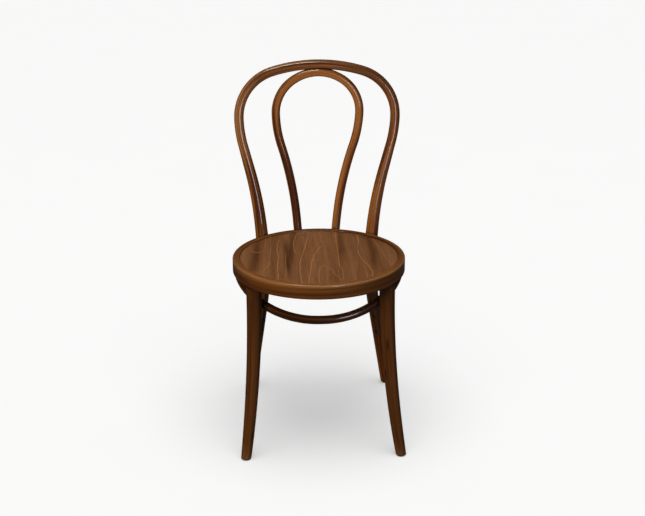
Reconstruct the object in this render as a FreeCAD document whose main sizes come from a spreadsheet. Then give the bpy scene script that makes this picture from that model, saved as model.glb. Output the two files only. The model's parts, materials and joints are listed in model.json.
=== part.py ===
import FreeCAD, Part
import Sketcher
import os
from math import cos, hypot, radians, sin, sqrt, tan

# Bentwood bistro chair: a steam-bent bow that is both back and rear legs, an inner loop,
# a bent seat ring with a let-in plywood panel, two turned and bent front legs, and one
# bent brace under the seat. Millimetres. The floor is Z 0, the front of the chair faces -Y.

V = FreeCAD.Vector
UP = V(0, 0, 1)

doc = FreeCAD.newDocument("bistro_chair")
sheet = doc.addObject("Spreadsheet::Sheet", "Sizes")

SIZES = [
    # Seat
    ("seat_height", 456.0),
    ("seat_diameter", 410.0),
    ("ring_height", 34.0),
    ("ring_width", 40.0),
    ("rim_width", 16.5),
    ("rim_rounding", 3.5),
    ("lip_rounding", 1.5),
    ("ring_foot_rounding", 3.0),
    ("panel_thickness", 8.0),
    ("panel_recess", 2.5),
    ("panel_gap", 0.3),
    ("panel_rounding", 0.8),
    # Outer bow above the seat: half widths, and drops below its crown
    ("overall_height", 877.4),
    ("bow_diameter", 23.8),
    ("bow_crown_half", 55.7),
    ("bow_shoulder_half", 197.2),
    ("bow_shoulder_drop", 41.0),
    ("bow_flank_half", 191.9),
    ("bow_flank_drop", 161.8),
    ("bow_waist_half", 149.2),
    ("bow_waist_rise", 92.2),
    ("recline_angle", 10.92),
    # The hand-bent rods stand a little to the right of the seat's middle
    ("seat_drift", 2.3),
    ("bow_crown_drift", 9.0),
    ("loop_crown_drift", 11.2),
    ("rear_feet_drift", 8.0),
    ("front_feet_drift", 3.0),
    # Outer bow at the seat and below it
    ("post_diameter", 33.0),
    ("post_angle", 50.97),
    ("post_let_in", 5.2),
    ("post_drop", 16.0),
    ("rear_bend_tuck", 1.7),
    ("rear_bend_height", 321.0),
    ("rear_foot_splay", 44.8),
    ("rear_foot_rake", 86.5),
    ("rear_foot_diameter", 25.0),
    # Inner loop
    ("loop_diameter", 21.0),
    ("loop_crown_half", 31.2),
    ("loop_crown_let_in", 3.2),
    ("loop_shoulder_half", 105.5),
    ("loop_shoulder_drop", 46.2),
    ("loop_flank_half", 102.4),
    ("loop_flank_drop", 141.3),
    ("loop_waist_half", 59.1),
    ("loop_waist_rise", 117.6),
    ("loop_foot_half", 45.2),
    ("loop_foot_let_in", 3.2),
    ("loop_crown_back_step", 3.0),
    # Front legs
    ("front_leg_angle", 34.54),
    ("front_leg_inset", 18.0),
    ("front_foot_splay", 30.4),
    ("front_foot_rake", 48.0),
    ("front_leg_diameter", 37.0),
    ("front_foot_diameter", 24.4),
    ("foot_chamfer", 1.6),
    ("tenon_diameter", 22.0),
    ("tenon_length", 19.0),
    ("tenon_clearance", 0.15),
    ("socket_spare", 1.0),
    # Brace
    ("brace_diameter", 20.0),
    ("brace_front_step", 18.0),
    ("brace_front_height", 340.5),
    ("brace_crown_half", 76.0),
    ("brace_leg_let_in", 3.0),
    ("brace_ring_let_in", 1.0),
    ("brace_post_let_in", 4.5),
    ("brace_end_height", 161.5),
    ("brace_side_angle", -4.6),
    ("brace_side_outset", 7.5),
    ("brace_back_angle", 26.7),
    ("brace_back_outset", 21.0),
    # Glides
    ("glide_diameter", 21.0),
    ("glide_height", 3.5),
    ("glide_rounding", 1.2),
    ("nail_diameter", 2.8),
    ("nail_length", 18.0),
    ("nail_head_diameter", 6.5),
    ("nail_head_height", 1.2),
    ("nail_head_sink", 0.6),
    # Bolts through the posts
    ("bolt_diameter", 6.0),
    ("bolt_head_diameter", 15.0),
    ("bolt_head_height", 3.6),
    ("bolt_head_let_in", 1.2),
    ("bolt_drop", 24.0),
    ("washer_diameter", 16.0),
    ("washer_thickness", 1.4),
    ("nut_width", 10.0),
    ("nut_height", 5.0),
    ("bolt_thread_past_nut", 1.6),
    # Wood screws
    ("screw_diameter", 4.5),
    ("screw_head_diameter", 8.6),
    ("screw_head_height", 2.6),
    ("screw_head_let_in", 1.0),
    ("crown_screw_sink", 1.4),
    ("screw_slot_width", 1.1),
    ("screw_slot_depth", 1.1),
    ("screw_bite", 16.0),
    ("crown_screw_bite", 12.0),
    ("post_screw_bite", 14.0),
    ("ring_screw_bite", 18.0),
    ("crown_screw_half", 18.0),
    ("post_screw_low", 15.5),
    ("post_screw_pitch", 47.0),
    ("post_screw_turn", 24.0),
    ("hole_clearance", 0.1),
    ("joint_gap", 0.1),
]
# Places that follow from those sizes: the legs and posts keep to the edge of the seat ring
PLACES = [
    ("front_leg_half", "=(seat_diameter / 2 - front_leg_inset) * cos(front_leg_angle * 1deg)"),
    ("front_leg_forward", "=(seat_diameter / 2 - front_leg_inset) * sin(front_leg_angle * 1deg)"),
    ("front_foot_half", "=front_leg_half + front_foot_splay"),
    ("front_foot_forward", "=front_leg_forward + front_foot_rake"),
    ("post_radius", "=(seat_diameter + post_diameter) / 2 - post_let_in"),
    ("post_half", "=post_radius * cos(post_angle * 1deg)"),
    ("post_back", "=post_radius * sin(post_angle * 1deg)"),
    ("rear_bend_half", "=post_half - rear_bend_tuck"),
    ("rear_foot_half", "=post_half + rear_foot_splay"),
    ("rear_foot_back", "=post_back + rear_foot_rake"),
    ("brace_front_forward", "=front_leg_forward + brace_front_step"),
]
for row, (alias, value) in enumerate(SIZES + PLACES, start=1):
    sheet.set(f"A{row}", alias)
    sheet.set(f"B{row}", str(value))
    sheet.setAlias(f"B{row}", alias)
doc.recompute()


def size(alias):
    return float(sheet.get(alias))


def cell(alias):
    return f"Sizes.{alias}"


# Places worked out from the driving sizes. The origin is on the floor, midway between the
# front of the seat ring and the back of the rear feet, so the seat centre lies at SEAT_Y.
SEAT_Y_RULE = "(Sizes.seat_diameter - 2 * Sizes.rear_foot_back - Sizes.rear_foot_diameter) / 4"
seat_top = size("seat_height")
ring_outer = size("seat_diameter") / 2
ring_inner = ring_outer - size("ring_width")
ring_middle = ring_outer - size("ring_width") / 2
ring_bottom = seat_top - size("ring_height")
bolt_height = seat_top - size("bolt_drop")
post_height = seat_top - size("post_drop")
crown_height = size("overall_height") - size("bow_diameter") / 2
clearance = size("hole_clearance")


def place_on_seat(part):
    """Set a finished piece, drawn about the seat's centre, into the chair's frame."""
    part.setExpression("Placement.Base.y", SEAT_Y_RULE)


# Bent rods

MERGED = 0.001


def bend(before, corner, after, reach):
    """A tangent arc that starts and ends one reach from the corner of two straight runs."""
    back = (before - corner).normalize()
    ahead = (after - corner).normalize()
    half_turn = (back + ahead).Length / 2
    radius = reach * sqrt(1 - half_turn ** 2) / half_turn
    middle = (back + ahead).normalize() * (sqrt(radius ** 2 + reach ** 2) - radius)
    return Part.Arc(corner + back * reach, corner + middle, corner + ahead * reach).toShape()


def rod_path(corners, splits):
    """Straight runs joined by tangent arcs, and where each arc stands in that list. Each run
    is split between the bends at its ends: splits gives, for every run, the share of it that
    the bend at its start may use."""
    edges = []
    arcs = []
    here = corners[0]
    for i in range(1, len(corners) - 1):
        before, corner, after = corners[i - 1:i + 2]
        room_before = (corner - before).Length * (1 - splits[i - 1])
        room_after = (after - corner).Length * splits[i]
        arc = bend(before, corner, after, min(room_before, room_after))
        start = arc.valueAt(arc.FirstParameter)
        if (start - here).Length > MERGED:
            edges.append(Part.LineSegment(here, start).toShape())
        arcs.append(len(edges))
        edges.append(arc)
        here = arc.valueAt(arc.LastParameter)
    if (corners[-1] - here).Length > MERGED:
        edges.append(Part.LineSegment(here, corners[-1]).toShape())
    return edges, arcs


def even_rod(edges, diameter):
    """A round rod of one thickness along the path."""
    shell = Part.BRepOffsetAPI.MakePipeShell(Part.Wire(edges))
    shell.add(section(edges[0], edges[0].FirstParameter, diameter))
    shell.build()
    shell.makeSolid()
    return shell.shape()


def tapered_rod(edges, start, end):
    """A round rod whose thickness runs evenly from its start to its end."""
    shell = Part.BRepOffsetAPI.MakePipeShell(Part.Wire(edges))
    shell.add(section(edges[0], edges[0].FirstParameter, start))
    shell.add(section(edges[-1], edges[-1].LastParameter, end))
    shell.build()
    shell.makeSolid()
    return shell.shape()


def section(edge, parameter, diameter):
    """A circle square to the path, with its seam always on the same side."""
    along = edge.tangentAt(parameter)
    circle = Part.Circle(edge.valueAt(parameter), along, diameter / 2)
    side = V(0, 1, 0) if abs(along.y) < 0.9 else V(0, 0, 1)
    circle.XAxis = side - along * side.dot(along)
    return Part.Wire([circle.toShape()])


def mirrored(half):
    """The corners of a whole bow, from those of its right half, listed from the crown down."""
    left = [V(-p.x, p.y, p.z) for p in reversed(half)]
    return left + half


def mirrored_splits(half_splits):
    return [1 - s for s in reversed(half_splits)] + [0.5] + half_splits


def drift_at(z, crown_drift):
    """How far a hand-bent rod of the back or a rear leg stands to the right at a height."""
    at_seat = size("seat_drift")
    if z > post_height:
        share = (z - post_height) / (crown_height - post_height)
        return at_seat + (crown_drift - at_seat) * share
    return at_seat + (size("rear_feet_drift") - at_seat) * (post_height - z) / post_height


def drifted(corners, crown_drift):
    return [V(p.x + drift_at(p.z, crown_drift), p.y, p.z) for p in corners]


# Outer bow: back and rear legs in one length of beech


def bow_y(z):
    return size("post_back") + (z - post_height) * tan(radians(size("recline_angle")))


def bow_corner(half, z):
    return V(half, bow_y(z), z)


rear_rake = (size("rear_foot_back") - size("post_back")) / post_height


def leg_y(z):
    return size("post_back") + (post_height - z) * rear_rake


rear_bend = V(size("rear_bend_half"), leg_y(size("rear_bend_height")), size("rear_bend_height"))
rear_foot = V(size("rear_foot_half"), size("rear_foot_back"), 0)


def rear_leg_at(z):
    """The rear leg's centre below its lower bend."""
    return rear_bend + (rear_foot - rear_bend) * (1 - z / rear_bend.z)


FLOOR_OVERRUN = 30.0
bow_half = [
    bow_corner(size("bow_crown_half"), crown_height),
    bow_corner(size("bow_shoulder_half"), crown_height - size("bow_shoulder_drop")),
    bow_corner(size("bow_flank_half"), crown_height - size("bow_flank_drop")),
    bow_corner(size("bow_waist_half"), seat_top + size("bow_waist_rise")),
    bow_corner(size("post_half"), post_height),
    rear_bend,
    rear_leg_at(-FLOOR_OVERRUN),
]
BOW_SPLITS = [0.39, 0.74, 0.5, 0.587, 0.42, 0.5]
bow_edges, bow_arcs = rod_path(
    drifted(mirrored(bow_half), size("bow_crown_drift")), mirrored_splits(BOW_SPLITS)
)
# The rod is thickest at the seat and tapers both ways: down to the feet, and up to the flanks.
left_post, left_flank, right_flank, right_post = (bow_arcs[i] for i in (1, 3, -4, -2))
bow_rod = even_rod(bow_edges[left_flank:right_flank + 1], size("bow_diameter")).multiFuse([
    tapered_rod(bow_edges[:left_post + 1], size("rear_foot_diameter"), size("post_diameter")),
    tapered_rod(bow_edges[left_post + 1:left_flank], size("post_diameter"), size("bow_diameter")),
    tapered_rod(bow_edges[right_flank + 1:right_post], size("bow_diameter"), size("post_diameter")),
    tapered_rod(bow_edges[right_post:], size("post_diameter"), size("rear_foot_diameter")),
])

# Inner loop, in a plane of its own between the ring's back and the bow's crown

loop_radius = size("loop_diameter") / 2
loop_crown_height = crown_height - (
    sqrt((size("bow_diameter") / 2 + loop_radius - size("loop_crown_let_in")) ** 2
         - size("loop_crown_back_step") ** 2)
)
loop_crown_y = bow_y(crown_height) - size("loop_crown_back_step")
loop_foot_y = (
    sqrt(ring_outer ** 2 - size("loop_foot_half") ** 2) + loop_radius - size("loop_foot_let_in")
)
loop_lean = (loop_crown_y - loop_foot_y) / (loop_crown_height - bolt_height)


def loop_corner(half, z):
    return V(half, loop_foot_y + (z - bolt_height) * loop_lean, z)


loop_waist_height = seat_top + size("loop_waist_rise")
loop_splay = (size("loop_waist_half") - size("loop_foot_half")) / (loop_waist_height - ring_bottom)
loop_end_half = size("loop_foot_half") - FLOOR_OVERRUN * loop_splay
loop_half = [
    loop_corner(size("loop_crown_half"), loop_crown_height),
    loop_corner(size("loop_shoulder_half"), loop_crown_height - size("loop_shoulder_drop")),
    loop_corner(size("loop_flank_half"), loop_crown_height - size("loop_flank_drop")),
    loop_corner(size("loop_waist_half"), loop_waist_height),
    loop_corner(loop_end_half, ring_bottom - FLOOR_OVERRUN),
]
LOOP_SPLITS = [0.37, 0.575, 0.31, 0.69]
loop_edges = rod_path(
    drifted(mirrored(loop_half), size("loop_crown_drift")), mirrored_splits(LOOP_SPLITS)
)[0]
loop_rod = even_rod(loop_edges, size("loop_diameter"))

# Brace: from one rear leg forward under the ring, past the front legs, and back again

brace_radius = size("brace_diameter") / 2
front_leg_axis = V(size("front_leg_half"), -size("front_leg_forward"), 0)
BRACE_SIDE = V(-0.6, 0.8, 0)
BRACE_ALONG = V(0.8, 0.6, 0)
BRACE_SLOPE = 0.773
BRACE_CORNER_REACH = 33.0
BRACE_ARC_SAG = 2.0
under_ring = ring_bottom - brace_radius + size("brace_ring_let_in")
notch_distance = size("front_leg_diameter") / 2 + brace_radius - size("brace_leg_let_in")


def brace_front(x, y):
    """A place in the sloping plane of the brace's front bend."""
    rise = BRACE_SLOPE * (y + size("brace_front_forward"))
    return V(x, y, size("brace_front_height") + rise)


def polar(radius, angle, z):
    return V(radius * cos(radians(angle)), radius * sin(radians(angle)), z)


brace_corner = (
    front_leg_axis
    + BRACE_SIDE * (notch_distance - BRACE_ARC_SAG)
    + BRACE_ALONG * BRACE_CORNER_REACH
)
rear_slant = V(0, rear_rake, -1).normalize()
post_gap = size("post_diameter") / 2 + brace_radius - size("brace_post_let_in")
post_step = V(0, rear_slant.z, -rear_slant.y) * post_gap
brace_half = [
    brace_front(size("brace_crown_half"), -size("brace_front_forward")),
    brace_front(brace_corner.x, brace_corner.y),
    polar(ring_middle + size("brace_side_outset"), size("brace_side_angle"), under_ring),
    polar(ring_middle + size("brace_back_outset"), size("brace_back_angle"), under_ring),
    V(size("post_half"), leg_y(under_ring - post_step.z) + post_step.y, under_ring),
    rear_bend + post_step,
    rear_leg_at(size("brace_end_height") - post_step.z) + post_step,
]
BRACE_SPLITS = [0.62, 0.6, 0.44, 0.5, 0.4, 0.5]
brace_corners = mirrored(brace_half)
BRACE_REAR_CORNERS = 3
brace_corners[:BRACE_REAR_CORNERS] = drifted(brace_corners[:BRACE_REAR_CORNERS], 0)
brace_corners[-BRACE_REAR_CORNERS:] = drifted(brace_corners[-BRACE_REAR_CORNERS:], 0)
brace_edges, brace_arcs = rod_path(brace_corners, mirrored_splits(BRACE_SPLITS))
brace_rod = even_rod(brace_edges, size("brace_diameter"))

# Places along a rod


def ends_at_height(edges, height):
    """Where the path's left and right ends first cross a height, counted from the ends."""
    places = []
    for run in (edges, edges[::-1]):
        for edge in run:
            low, high = edge.FirstParameter, edge.LastParameter
            if edge.valueAt(low).z > edge.valueAt(high).z:
                low, high = high, low
            if edge.valueAt(low).z <= height <= edge.valueAt(high).z:
                break
        for _ in range(40):
            middle = (low + high) / 2
            if edge.valueAt(middle).z < height:
                low = middle
            else:
                high = middle
        places.append(edge.valueAt(low))
    return places


def nearest(edges, target):
    """The path's nearest place to a target shape."""
    pairs = Part.Wire(edges).distToShape(target)[1]
    return pairs[0][0], pairs[0][1]


def across(p):
    """The same place on the chair's other side."""
    return V(-p.x, p.y, p.z)


# PartDesign helpers


def origin_plane(body, role):
    return next(f for f in body.Origin.OriginFeatures if f.Role == role)


def new_sketch(body, name, role, lift=None):
    sketch = body.newObject("Sketcher::SketchObject", name)
    sketch.AttachmentSupport = (origin_plane(body, role), "")
    sketch.MapMode = "FlatFace"
    if lift:
        sketch.setExpression("AttachmentOffset.Base.z", lift)
    doc.recompute()
    return sketch


def bind(sketch, constraint, name, rule):
    index = sketch.addConstraint(constraint)
    sketch.renameConstraint(index, name)
    sketch.setExpression(f"Constraints.{name}", rule)


def draw_outline(sketch, points):
    """A closed outline of straight lines. Each corner is a pair of rules for its x and y."""
    places = [V(*(float(sketch.evalExpression(rule)) for rule in point), 0) for point in points]
    count = len(points)
    for i in range(count):
        sketch.addGeometry(Part.LineSegment(places[i], places[(i + 1) % count]), False)
    for i in range(count):
        sketch.addConstraint(Sketcher.Constraint("Coincident", i, 2, (i + 1) % count, 1))
    for i, (point, place) in enumerate(zip(points, places)):
        for kind, rule, value, axis in (
            ("DistanceX", point[0], place.x, -2),
            ("DistanceY", point[1], place.y, -1),
        ):
            if rule == "0":
                sketch.addConstraint(Sketcher.Constraint("PointOnObject", i, 1, axis))
            else:
                constraint = Sketcher.Constraint(kind, -1, 1, i, 1, value)
                bind(sketch, constraint, f"{kind[-1].lower()}{i}", rule)


def draw_circle(sketch, diameter_rule, x_rule="0", y_rule="0"):
    """A circle bound to its place and its diameter."""
    x, y, diameter = (
        float(sketch.evalExpression(rule)) for rule in (x_rule, y_rule, diameter_rule)
    )
    index = sketch.addGeometry(Part.Circle(V(x, y, 0), UP, diameter / 2), False)
    if x_rule == "0":
        sketch.addConstraint(Sketcher.Constraint("Coincident", index, 3, -1, 1))
    else:
        bind(sketch, Sketcher.Constraint("DistanceX", -1, 1, index, 3, x), f"x{index}", x_rule)
        bind(sketch, Sketcher.Constraint("DistanceY", -1, 1, index, 3, y), f"y{index}", y_rule)
    bind(sketch, Sketcher.Constraint("Diameter", index, diameter), f"d{index}", diameter_rule)


def revolve(body, sketch):
    turned = body.newObject("PartDesign::Revolution", f"{sketch.Name}_turned")
    turned.Profile = sketch
    turned.ReferenceAxis = (sketch, ["V_Axis"])
    turned.Angle = 360
    doc.recompute()
    return turned


def round_edges(body, feature, size_rule, wanted):
    """Fillet the round edges that lie at the wanted (radius, height) pairs."""
    names = []
    for i, edge in enumerate(feature.Shape.Edges, start=1):
        on_edge = edge.valueAt(edge.FirstParameter)
        radius = (on_edge - edge.CenterOfMass).Length
        flat = edge.BoundBox.ZLength < 0.01
        for want_radius, want_height in wanted:
            if flat and abs(radius - want_radius) < 0.01 and abs(on_edge.z - want_height) < 0.01:
                names.append(f"Edge{i}")
    dressed = body.newObject("PartDesign::Fillet", f"{feature.Name}_rounded")
    dressed.Base = (feature, names)
    dressed.setExpression("Radius", size_rule)
    doc.recompute()
    return dressed


# Cutting tools and joints


def drill(at, along, diameter_rule, length):
    """A round cutter that starts at a place and runs along a direction."""
    cutter = doc.addObject("Part::Cylinder", "Drill")
    cutter.setExpression("Radius", f"({diameter_rule}) / 2 + Sizes.hole_clearance")
    cutter.Height = length
    cutter.Placement = FreeCAD.Placement(at, FreeCAD.Rotation(UP, along))
    return cutter


def shape_object(name, shape):
    made = doc.addObject("Part::Feature", name)
    made.Shape = shape
    return made


def finish_cut(label, base, cutters):
    """A finished piece: its blank less every cutter."""
    tools = doc.addObject("Part::Compound", f"{label}_cutters")
    tools.Links = cutters
    piece = doc.addObject("Part::Cut", f"{label}_cut")
    piece.Base = base
    piece.Tool = tools
    piece.Label = label
    place_on_seat(piece)
    return piece


def finish_group(label, pattern, places):
    """Like pieces, one solid each, set out from one pattern."""
    copies = []
    for place in places:
        copy = shape_object(f"{label}_copy", pattern.Shape.copy())
        copy.Placement = place
        copies.append(copy)
    group = doc.addObject("Part::Compound", f"{label}_group")
    group.Links = copies
    group.Label = label
    place_on_seat(group)
    return group


def facing(at, along):
    """Turn a fastener, drawn head up with its shank down, to drive along a direction."""
    return FreeCAD.Placement(at, FreeCAD.Rotation(V(0, 0, -1), along))


finished = []

# Seat ring: a bent beech hoop with a rabbet for the panel and two sockets for the front legs

TOP = "Sizes.seat_height"
BOTTOM = "(Sizes.seat_height - Sizes.ring_height)"
LEDGE = "(Sizes.seat_height - Sizes.panel_recess - Sizes.panel_thickness)"
OUTER = "(Sizes.seat_diameter / 2)"
INNER = "(Sizes.seat_diameter / 2 - Sizes.ring_width)"
RABBET = "(Sizes.seat_diameter / 2 - Sizes.rim_width)"
rabbet_radius = ring_outer - size("rim_width")

ring_body = doc.addObject("PartDesign::Body", "SeatRingBlank")
ring_sketch = new_sketch(ring_body, "RingProfile", "XZ_Plane")
draw_outline(ring_sketch, [
    (INNER, BOTTOM), (OUTER, BOTTOM), (OUTER, TOP), (RABBET, TOP), (RABBET, LEDGE), (INNER, LEDGE),
])
ring_turned = revolve(ring_body, ring_sketch)
rim_fillet = round_edges(
    ring_body, ring_turned, cell("rim_rounding"), [(ring_outer, seat_top)]
)
lip_fillet = round_edges(
    ring_body, rim_fillet, cell("lip_rounding"), [(rabbet_radius, seat_top)]
)
foot_fillet = round_edges(
    ring_body, lip_fillet, cell("ring_foot_rounding"),
    [(ring_outer, ring_bottom), (ring_inner, ring_bottom)],
)
socket_sketch = new_sketch(ring_body, "LegSockets", "XY_Plane", BOTTOM)
for half_rule in (cell("front_leg_half"), "-" + cell("front_leg_half")):
    draw_circle(
        socket_sketch, "Sizes.tenon_diameter + 2 * Sizes.tenon_clearance",
        half_rule, "-" + cell("front_leg_forward"),
    )
sockets = ring_body.newObject("PartDesign::Pocket", "LegSocketCuts")
sockets.Profile = socket_sketch
sockets.Reversed = True
sockets.setExpression("Length", "Sizes.tenon_length + Sizes.socket_spare")
doc.recompute()
assert sockets.Shape.Volume < foot_fillet.Shape.Volume, "the leg sockets cut nothing"

# Seat panel: veneered plywood, let into the ring's rabbet

panel_body = doc.addObject("PartDesign::Body", "SeatPanel")
panel_sketch = new_sketch(panel_body, "PanelOutline", "XY_Plane", LEDGE)
draw_circle(panel_sketch, "Sizes.seat_diameter - 2 * Sizes.rim_width - 2 * Sizes.panel_gap")
panel_pad = panel_body.newObject("PartDesign::Pad", "PanelPad")
panel_pad.Profile = panel_sketch
panel_pad.setExpression("Length", cell("panel_thickness"))
doc.recompute()
round_edges(
    panel_body, panel_pad, cell("panel_rounding"),
    [(rabbet_radius - size("panel_gap"), seat_top - size("panel_recess"))],
)
panel_body.Label = "seat_panel"
place_on_seat(panel_body)
finished.append(panel_body)

# Fasteners, each drawn once with its head above the origin and its shank below


def fastener(name, head_rule, shank_rule, length_rule, height_rule, tip_rule):
    """A turned fastener: domed head, plain shank and a short tip."""
    body = doc.addObject("PartDesign::Body", name)
    profile = new_sketch(body, f"{name}Profile", "XZ_Plane")
    head = f"({head_rule}) / 2"
    shank = f"({shank_rule}) / 2"
    draw_outline(profile, [
        ("0", f"-({length_rule})"),
        (f"{shank} * 0.4", f"-({length_rule})"),
        (shank, f"-({length_rule}) + {tip_rule}"),
        (shank, "0"),
        (head, "0"),
        (head, f"({height_rule}) * 0.35"),
        (f"{head} * 0.82", f"({height_rule}) * 0.75"),
        (f"{head} * 0.5", f"({height_rule}) * 0.95"),
        ("0", height_rule),
    ])
    revolve(body, profile)
    return body


def slotted_screw(name, length_rule):
    """A round-head wood screw with a driver slot."""
    body = fastener(
        name, cell("screw_head_diameter"), cell("screw_diameter"), length_rule,
        cell("screw_head_height"), "Sizes.screw_diameter",
    )
    slot = new_sketch(body, f"{name}Slot", "XY_Plane", cell("screw_head_height"))
    half_length = "Sizes.screw_head_diameter"
    half_width = "Sizes.screw_slot_width / 2"
    draw_outline(slot, [
        ("-" + half_length, "-" + half_width), (half_length, "-" + half_width),
        (half_length, half_width), ("-" + half_length, half_width),
    ])
    pocket = body.newObject("PartDesign::Pocket", f"{name}SlotCut")
    pocket.Profile = slot
    pocket.setExpression("Length", cell("screw_slot_depth"))
    doc.recompute()
    return body


def screw_places(starts):
    """Where each screw's head beds, from its rod's centre, its direction and the rod's radius."""
    return [
        (centre - along * (radius - size("screw_head_let_in")), along)
        for centre, along, radius in starts
    ]


def screw_holes(seats, length):
    """A hole for the shank and a shallow flat for the head of each screw."""
    holes = []
    for seat, along in seats:
        holes.append(drill(seat, along, cell("screw_diameter"), length + clearance))
        spot = drill(seat, along * -1, cell("screw_head_diameter"), size("screw_head_height") * 2)
        holes.append(spot)
    return holes


# Joint places, worked out on the rods' own paths

post_places = []
for centre in ends_at_height(bow_edges, bolt_height):
    inward = V(-centre.x, -centre.y, 0).normalize()
    to_seat = size("post_diameter") / 2 - size("bolt_head_let_in")
    post_places.append((centre - inward * to_seat, inward))
washer_radius = sqrt(ring_inner ** 2 - (size("washer_diameter") / 2) ** 2)
nut_radius = washer_radius - size("washer_thickness")
bolt_reach = max(hypot(seat.x, seat.y) for seat, inward in post_places) - nut_radius
bolt_length = bolt_reach + size("nut_height") + size("bolt_thread_past_nut")

loop_foot_starts = []
for centre in ends_at_height(loop_edges, bolt_height):
    inward = V(-centre.x, -centre.y, 0).normalize()
    loop_foot_starts.append((centre, inward, loop_radius))

# The two heads under the crown lie deeper than the others, flush with the wood
loop_crown_starts = []
crown_head_radius = loop_radius - size("crown_screw_sink")
for side in (-1, 1):
    x = size("loop_crown_drift") + side * size("crown_screw_half")
    column = Part.makeLine(V(x, loop_crown_y, loop_crown_height - 2 * loop_radius),
                           V(x, loop_crown_y, loop_crown_height + loop_radius))
    centre = nearest(loop_edges, column)[0]
    on_bow = nearest(bow_edges, Part.Vertex(centre))[0]
    loop_crown_starts.append((centre, (on_bow - centre).normalize(), crown_head_radius))

front_leg_line = Part.makeLine(
    V(front_leg_axis.x, front_leg_axis.y, 0), V(front_leg_axis.x, front_leg_axis.y, ring_bottom)
)
at_front_leg = nearest(brace_edges, front_leg_line)[0]
to_front_leg = V(front_leg_axis.x - at_front_leg.x, front_leg_axis.y - at_front_leg.y, 0).normalize()
brace_front_starts = [
    (at_front_leg, to_front_leg, brace_radius),
    (across(at_front_leg), across(to_front_leg), brace_radius),
]
to_post = (post_step * -1).normalize()
brace_rear_starts = []
for rise in (0.0, size("post_screw_pitch")):
    height = size("brace_end_height") + size("post_screw_low") + rise
    for side, centre in zip((-1, 1), ends_at_height(brace_edges, height)):
        turn = FreeCAD.Rotation(rear_slant, side * size("post_screw_turn"))
        brace_rear_starts.append((centre, turn.multVec(to_post), brace_radius))
under_ring_arc = brace_edges[brace_arcs[-3]]
at_ring = under_ring_arc.valueAt(under_ring_arc.FirstParameter)
brace_ring_starts = [(at_ring, UP, brace_radius), (across(at_ring), UP, brace_radius)]

SCREWS = {
    "loop_foot_screws": (loop_foot_starts, "Sizes.loop_diameter + Sizes.screw_bite"),
    "loop_crown_screws": (loop_crown_starts, "Sizes.loop_diameter + Sizes.crown_screw_bite"),
    "brace_front_screws": (brace_front_starts, "Sizes.brace_diameter + Sizes.screw_bite"),
    "brace_rear_screws": (brace_rear_starts, "Sizes.brace_diameter + Sizes.post_screw_bite"),
    "brace_ring_screws": (brace_ring_starts, "Sizes.brace_diameter + Sizes.ring_screw_bite"),
}
holes = {}
for label, (starts, length_rule) in SCREWS.items():
    seats = screw_places(starts)
    pattern = slotted_screw(f"{label}_pattern", length_rule)
    holes[label] = screw_holes(seats, float(sheet.evalExpression(length_rule)))
    finished.append(finish_group(label, pattern, [facing(*seat) for seat in seats]))

bolt_holes = []
for seat, inward in post_places:
    bolt_holes.append(drill(seat, inward, cell("bolt_diameter"), bolt_length))
    bolt_holes.append(
        drill(seat, inward * -1, cell("bolt_head_diameter"), 2 * size("bolt_head_height"))
    )
bolt_pattern = fastener(
    "post_bolt_pattern", cell("bolt_head_diameter"), cell("bolt_diameter"), str(bolt_length),
    cell("bolt_head_height"), "1",
)
finished.append(finish_group("post_bolts", bolt_pattern, [facing(*seat) for seat in post_places]))

washer_disc = doc.addObject("Part::Cylinder", "WasherDisc")
washer_disc.setExpression("Radius", "Sizes.washer_diameter / 2")
washer_disc.setExpression("Height", cell("washer_thickness"))
nut_block = doc.addObject("Part::Prism", "NutBlock")
nut_block.Polygon = 6
nut_block.setExpression("Circumradius", "Sizes.nut_width / sqrt(3)")
nut_block.setExpression("Height", cell("nut_height"))
for label, blank, radius in (
    ("post_bolt_washers", washer_disc, washer_radius), ("post_bolt_nuts", nut_block, nut_radius),
):
    bore = doc.addObject("Part::Cylinder", f"{label}_bore")
    bore.setExpression("Radius", "Sizes.bolt_diameter / 2 + Sizes.hole_clearance")
    bore.Height = blank.Height.Value + 2
    bore.Placement.Base.z = -1
    bored = doc.addObject("Part::Cut", f"{label}_pattern")
    bored.Base = blank
    bored.Tool = bore
    doc.recompute()
    places = []
    for seat, inward in post_places:
        at = V(-inward.x * radius, -inward.y * radius, seat.z)
        places.append(FreeCAD.Placement(at, FreeCAD.Rotation(UP, inward)))
    finished.append(finish_group(label, bored, places))

# Front legs: turned, bent outward below, with a tenon glued into the ring

LEG_SHARES = [0.0, 0.13, 0.28, 0.43, 0.58, 0.72, 0.86, 1.0]
TAPER_POWER = 0.7
LEG_END = "(Sizes.glide_height + Sizes.foot_chamfer)"


def leg_section(body, name, side, lift, bow_out, diameter_rule):
    """A round section of the leg, set off from its top by a share of the whole bend."""
    drawn = new_sketch(body, name, "XY_Plane", lift)
    run = {
        "x": f"({side} * (Sizes.front_foot_half - Sizes.front_leg_half) + Sizes.front_feet_drift)",
        "y": "(Sizes.front_leg_forward - Sizes.front_foot_forward)",
    }
    for axis, rule in run.items():
        drawn.setExpression(f"AttachmentOffset.Base.{axis}", f"{rule} * {bow_out}")
    draw_circle(drawn, diameter_rule)
    return drawn


def leg_loft(body, name, sections):
    loft = body.newObject("PartDesign::AdditiveLoft", name)
    loft.Profile = sections[0]
    loft.Sections = sections[1:]
    doc.recompute()


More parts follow.
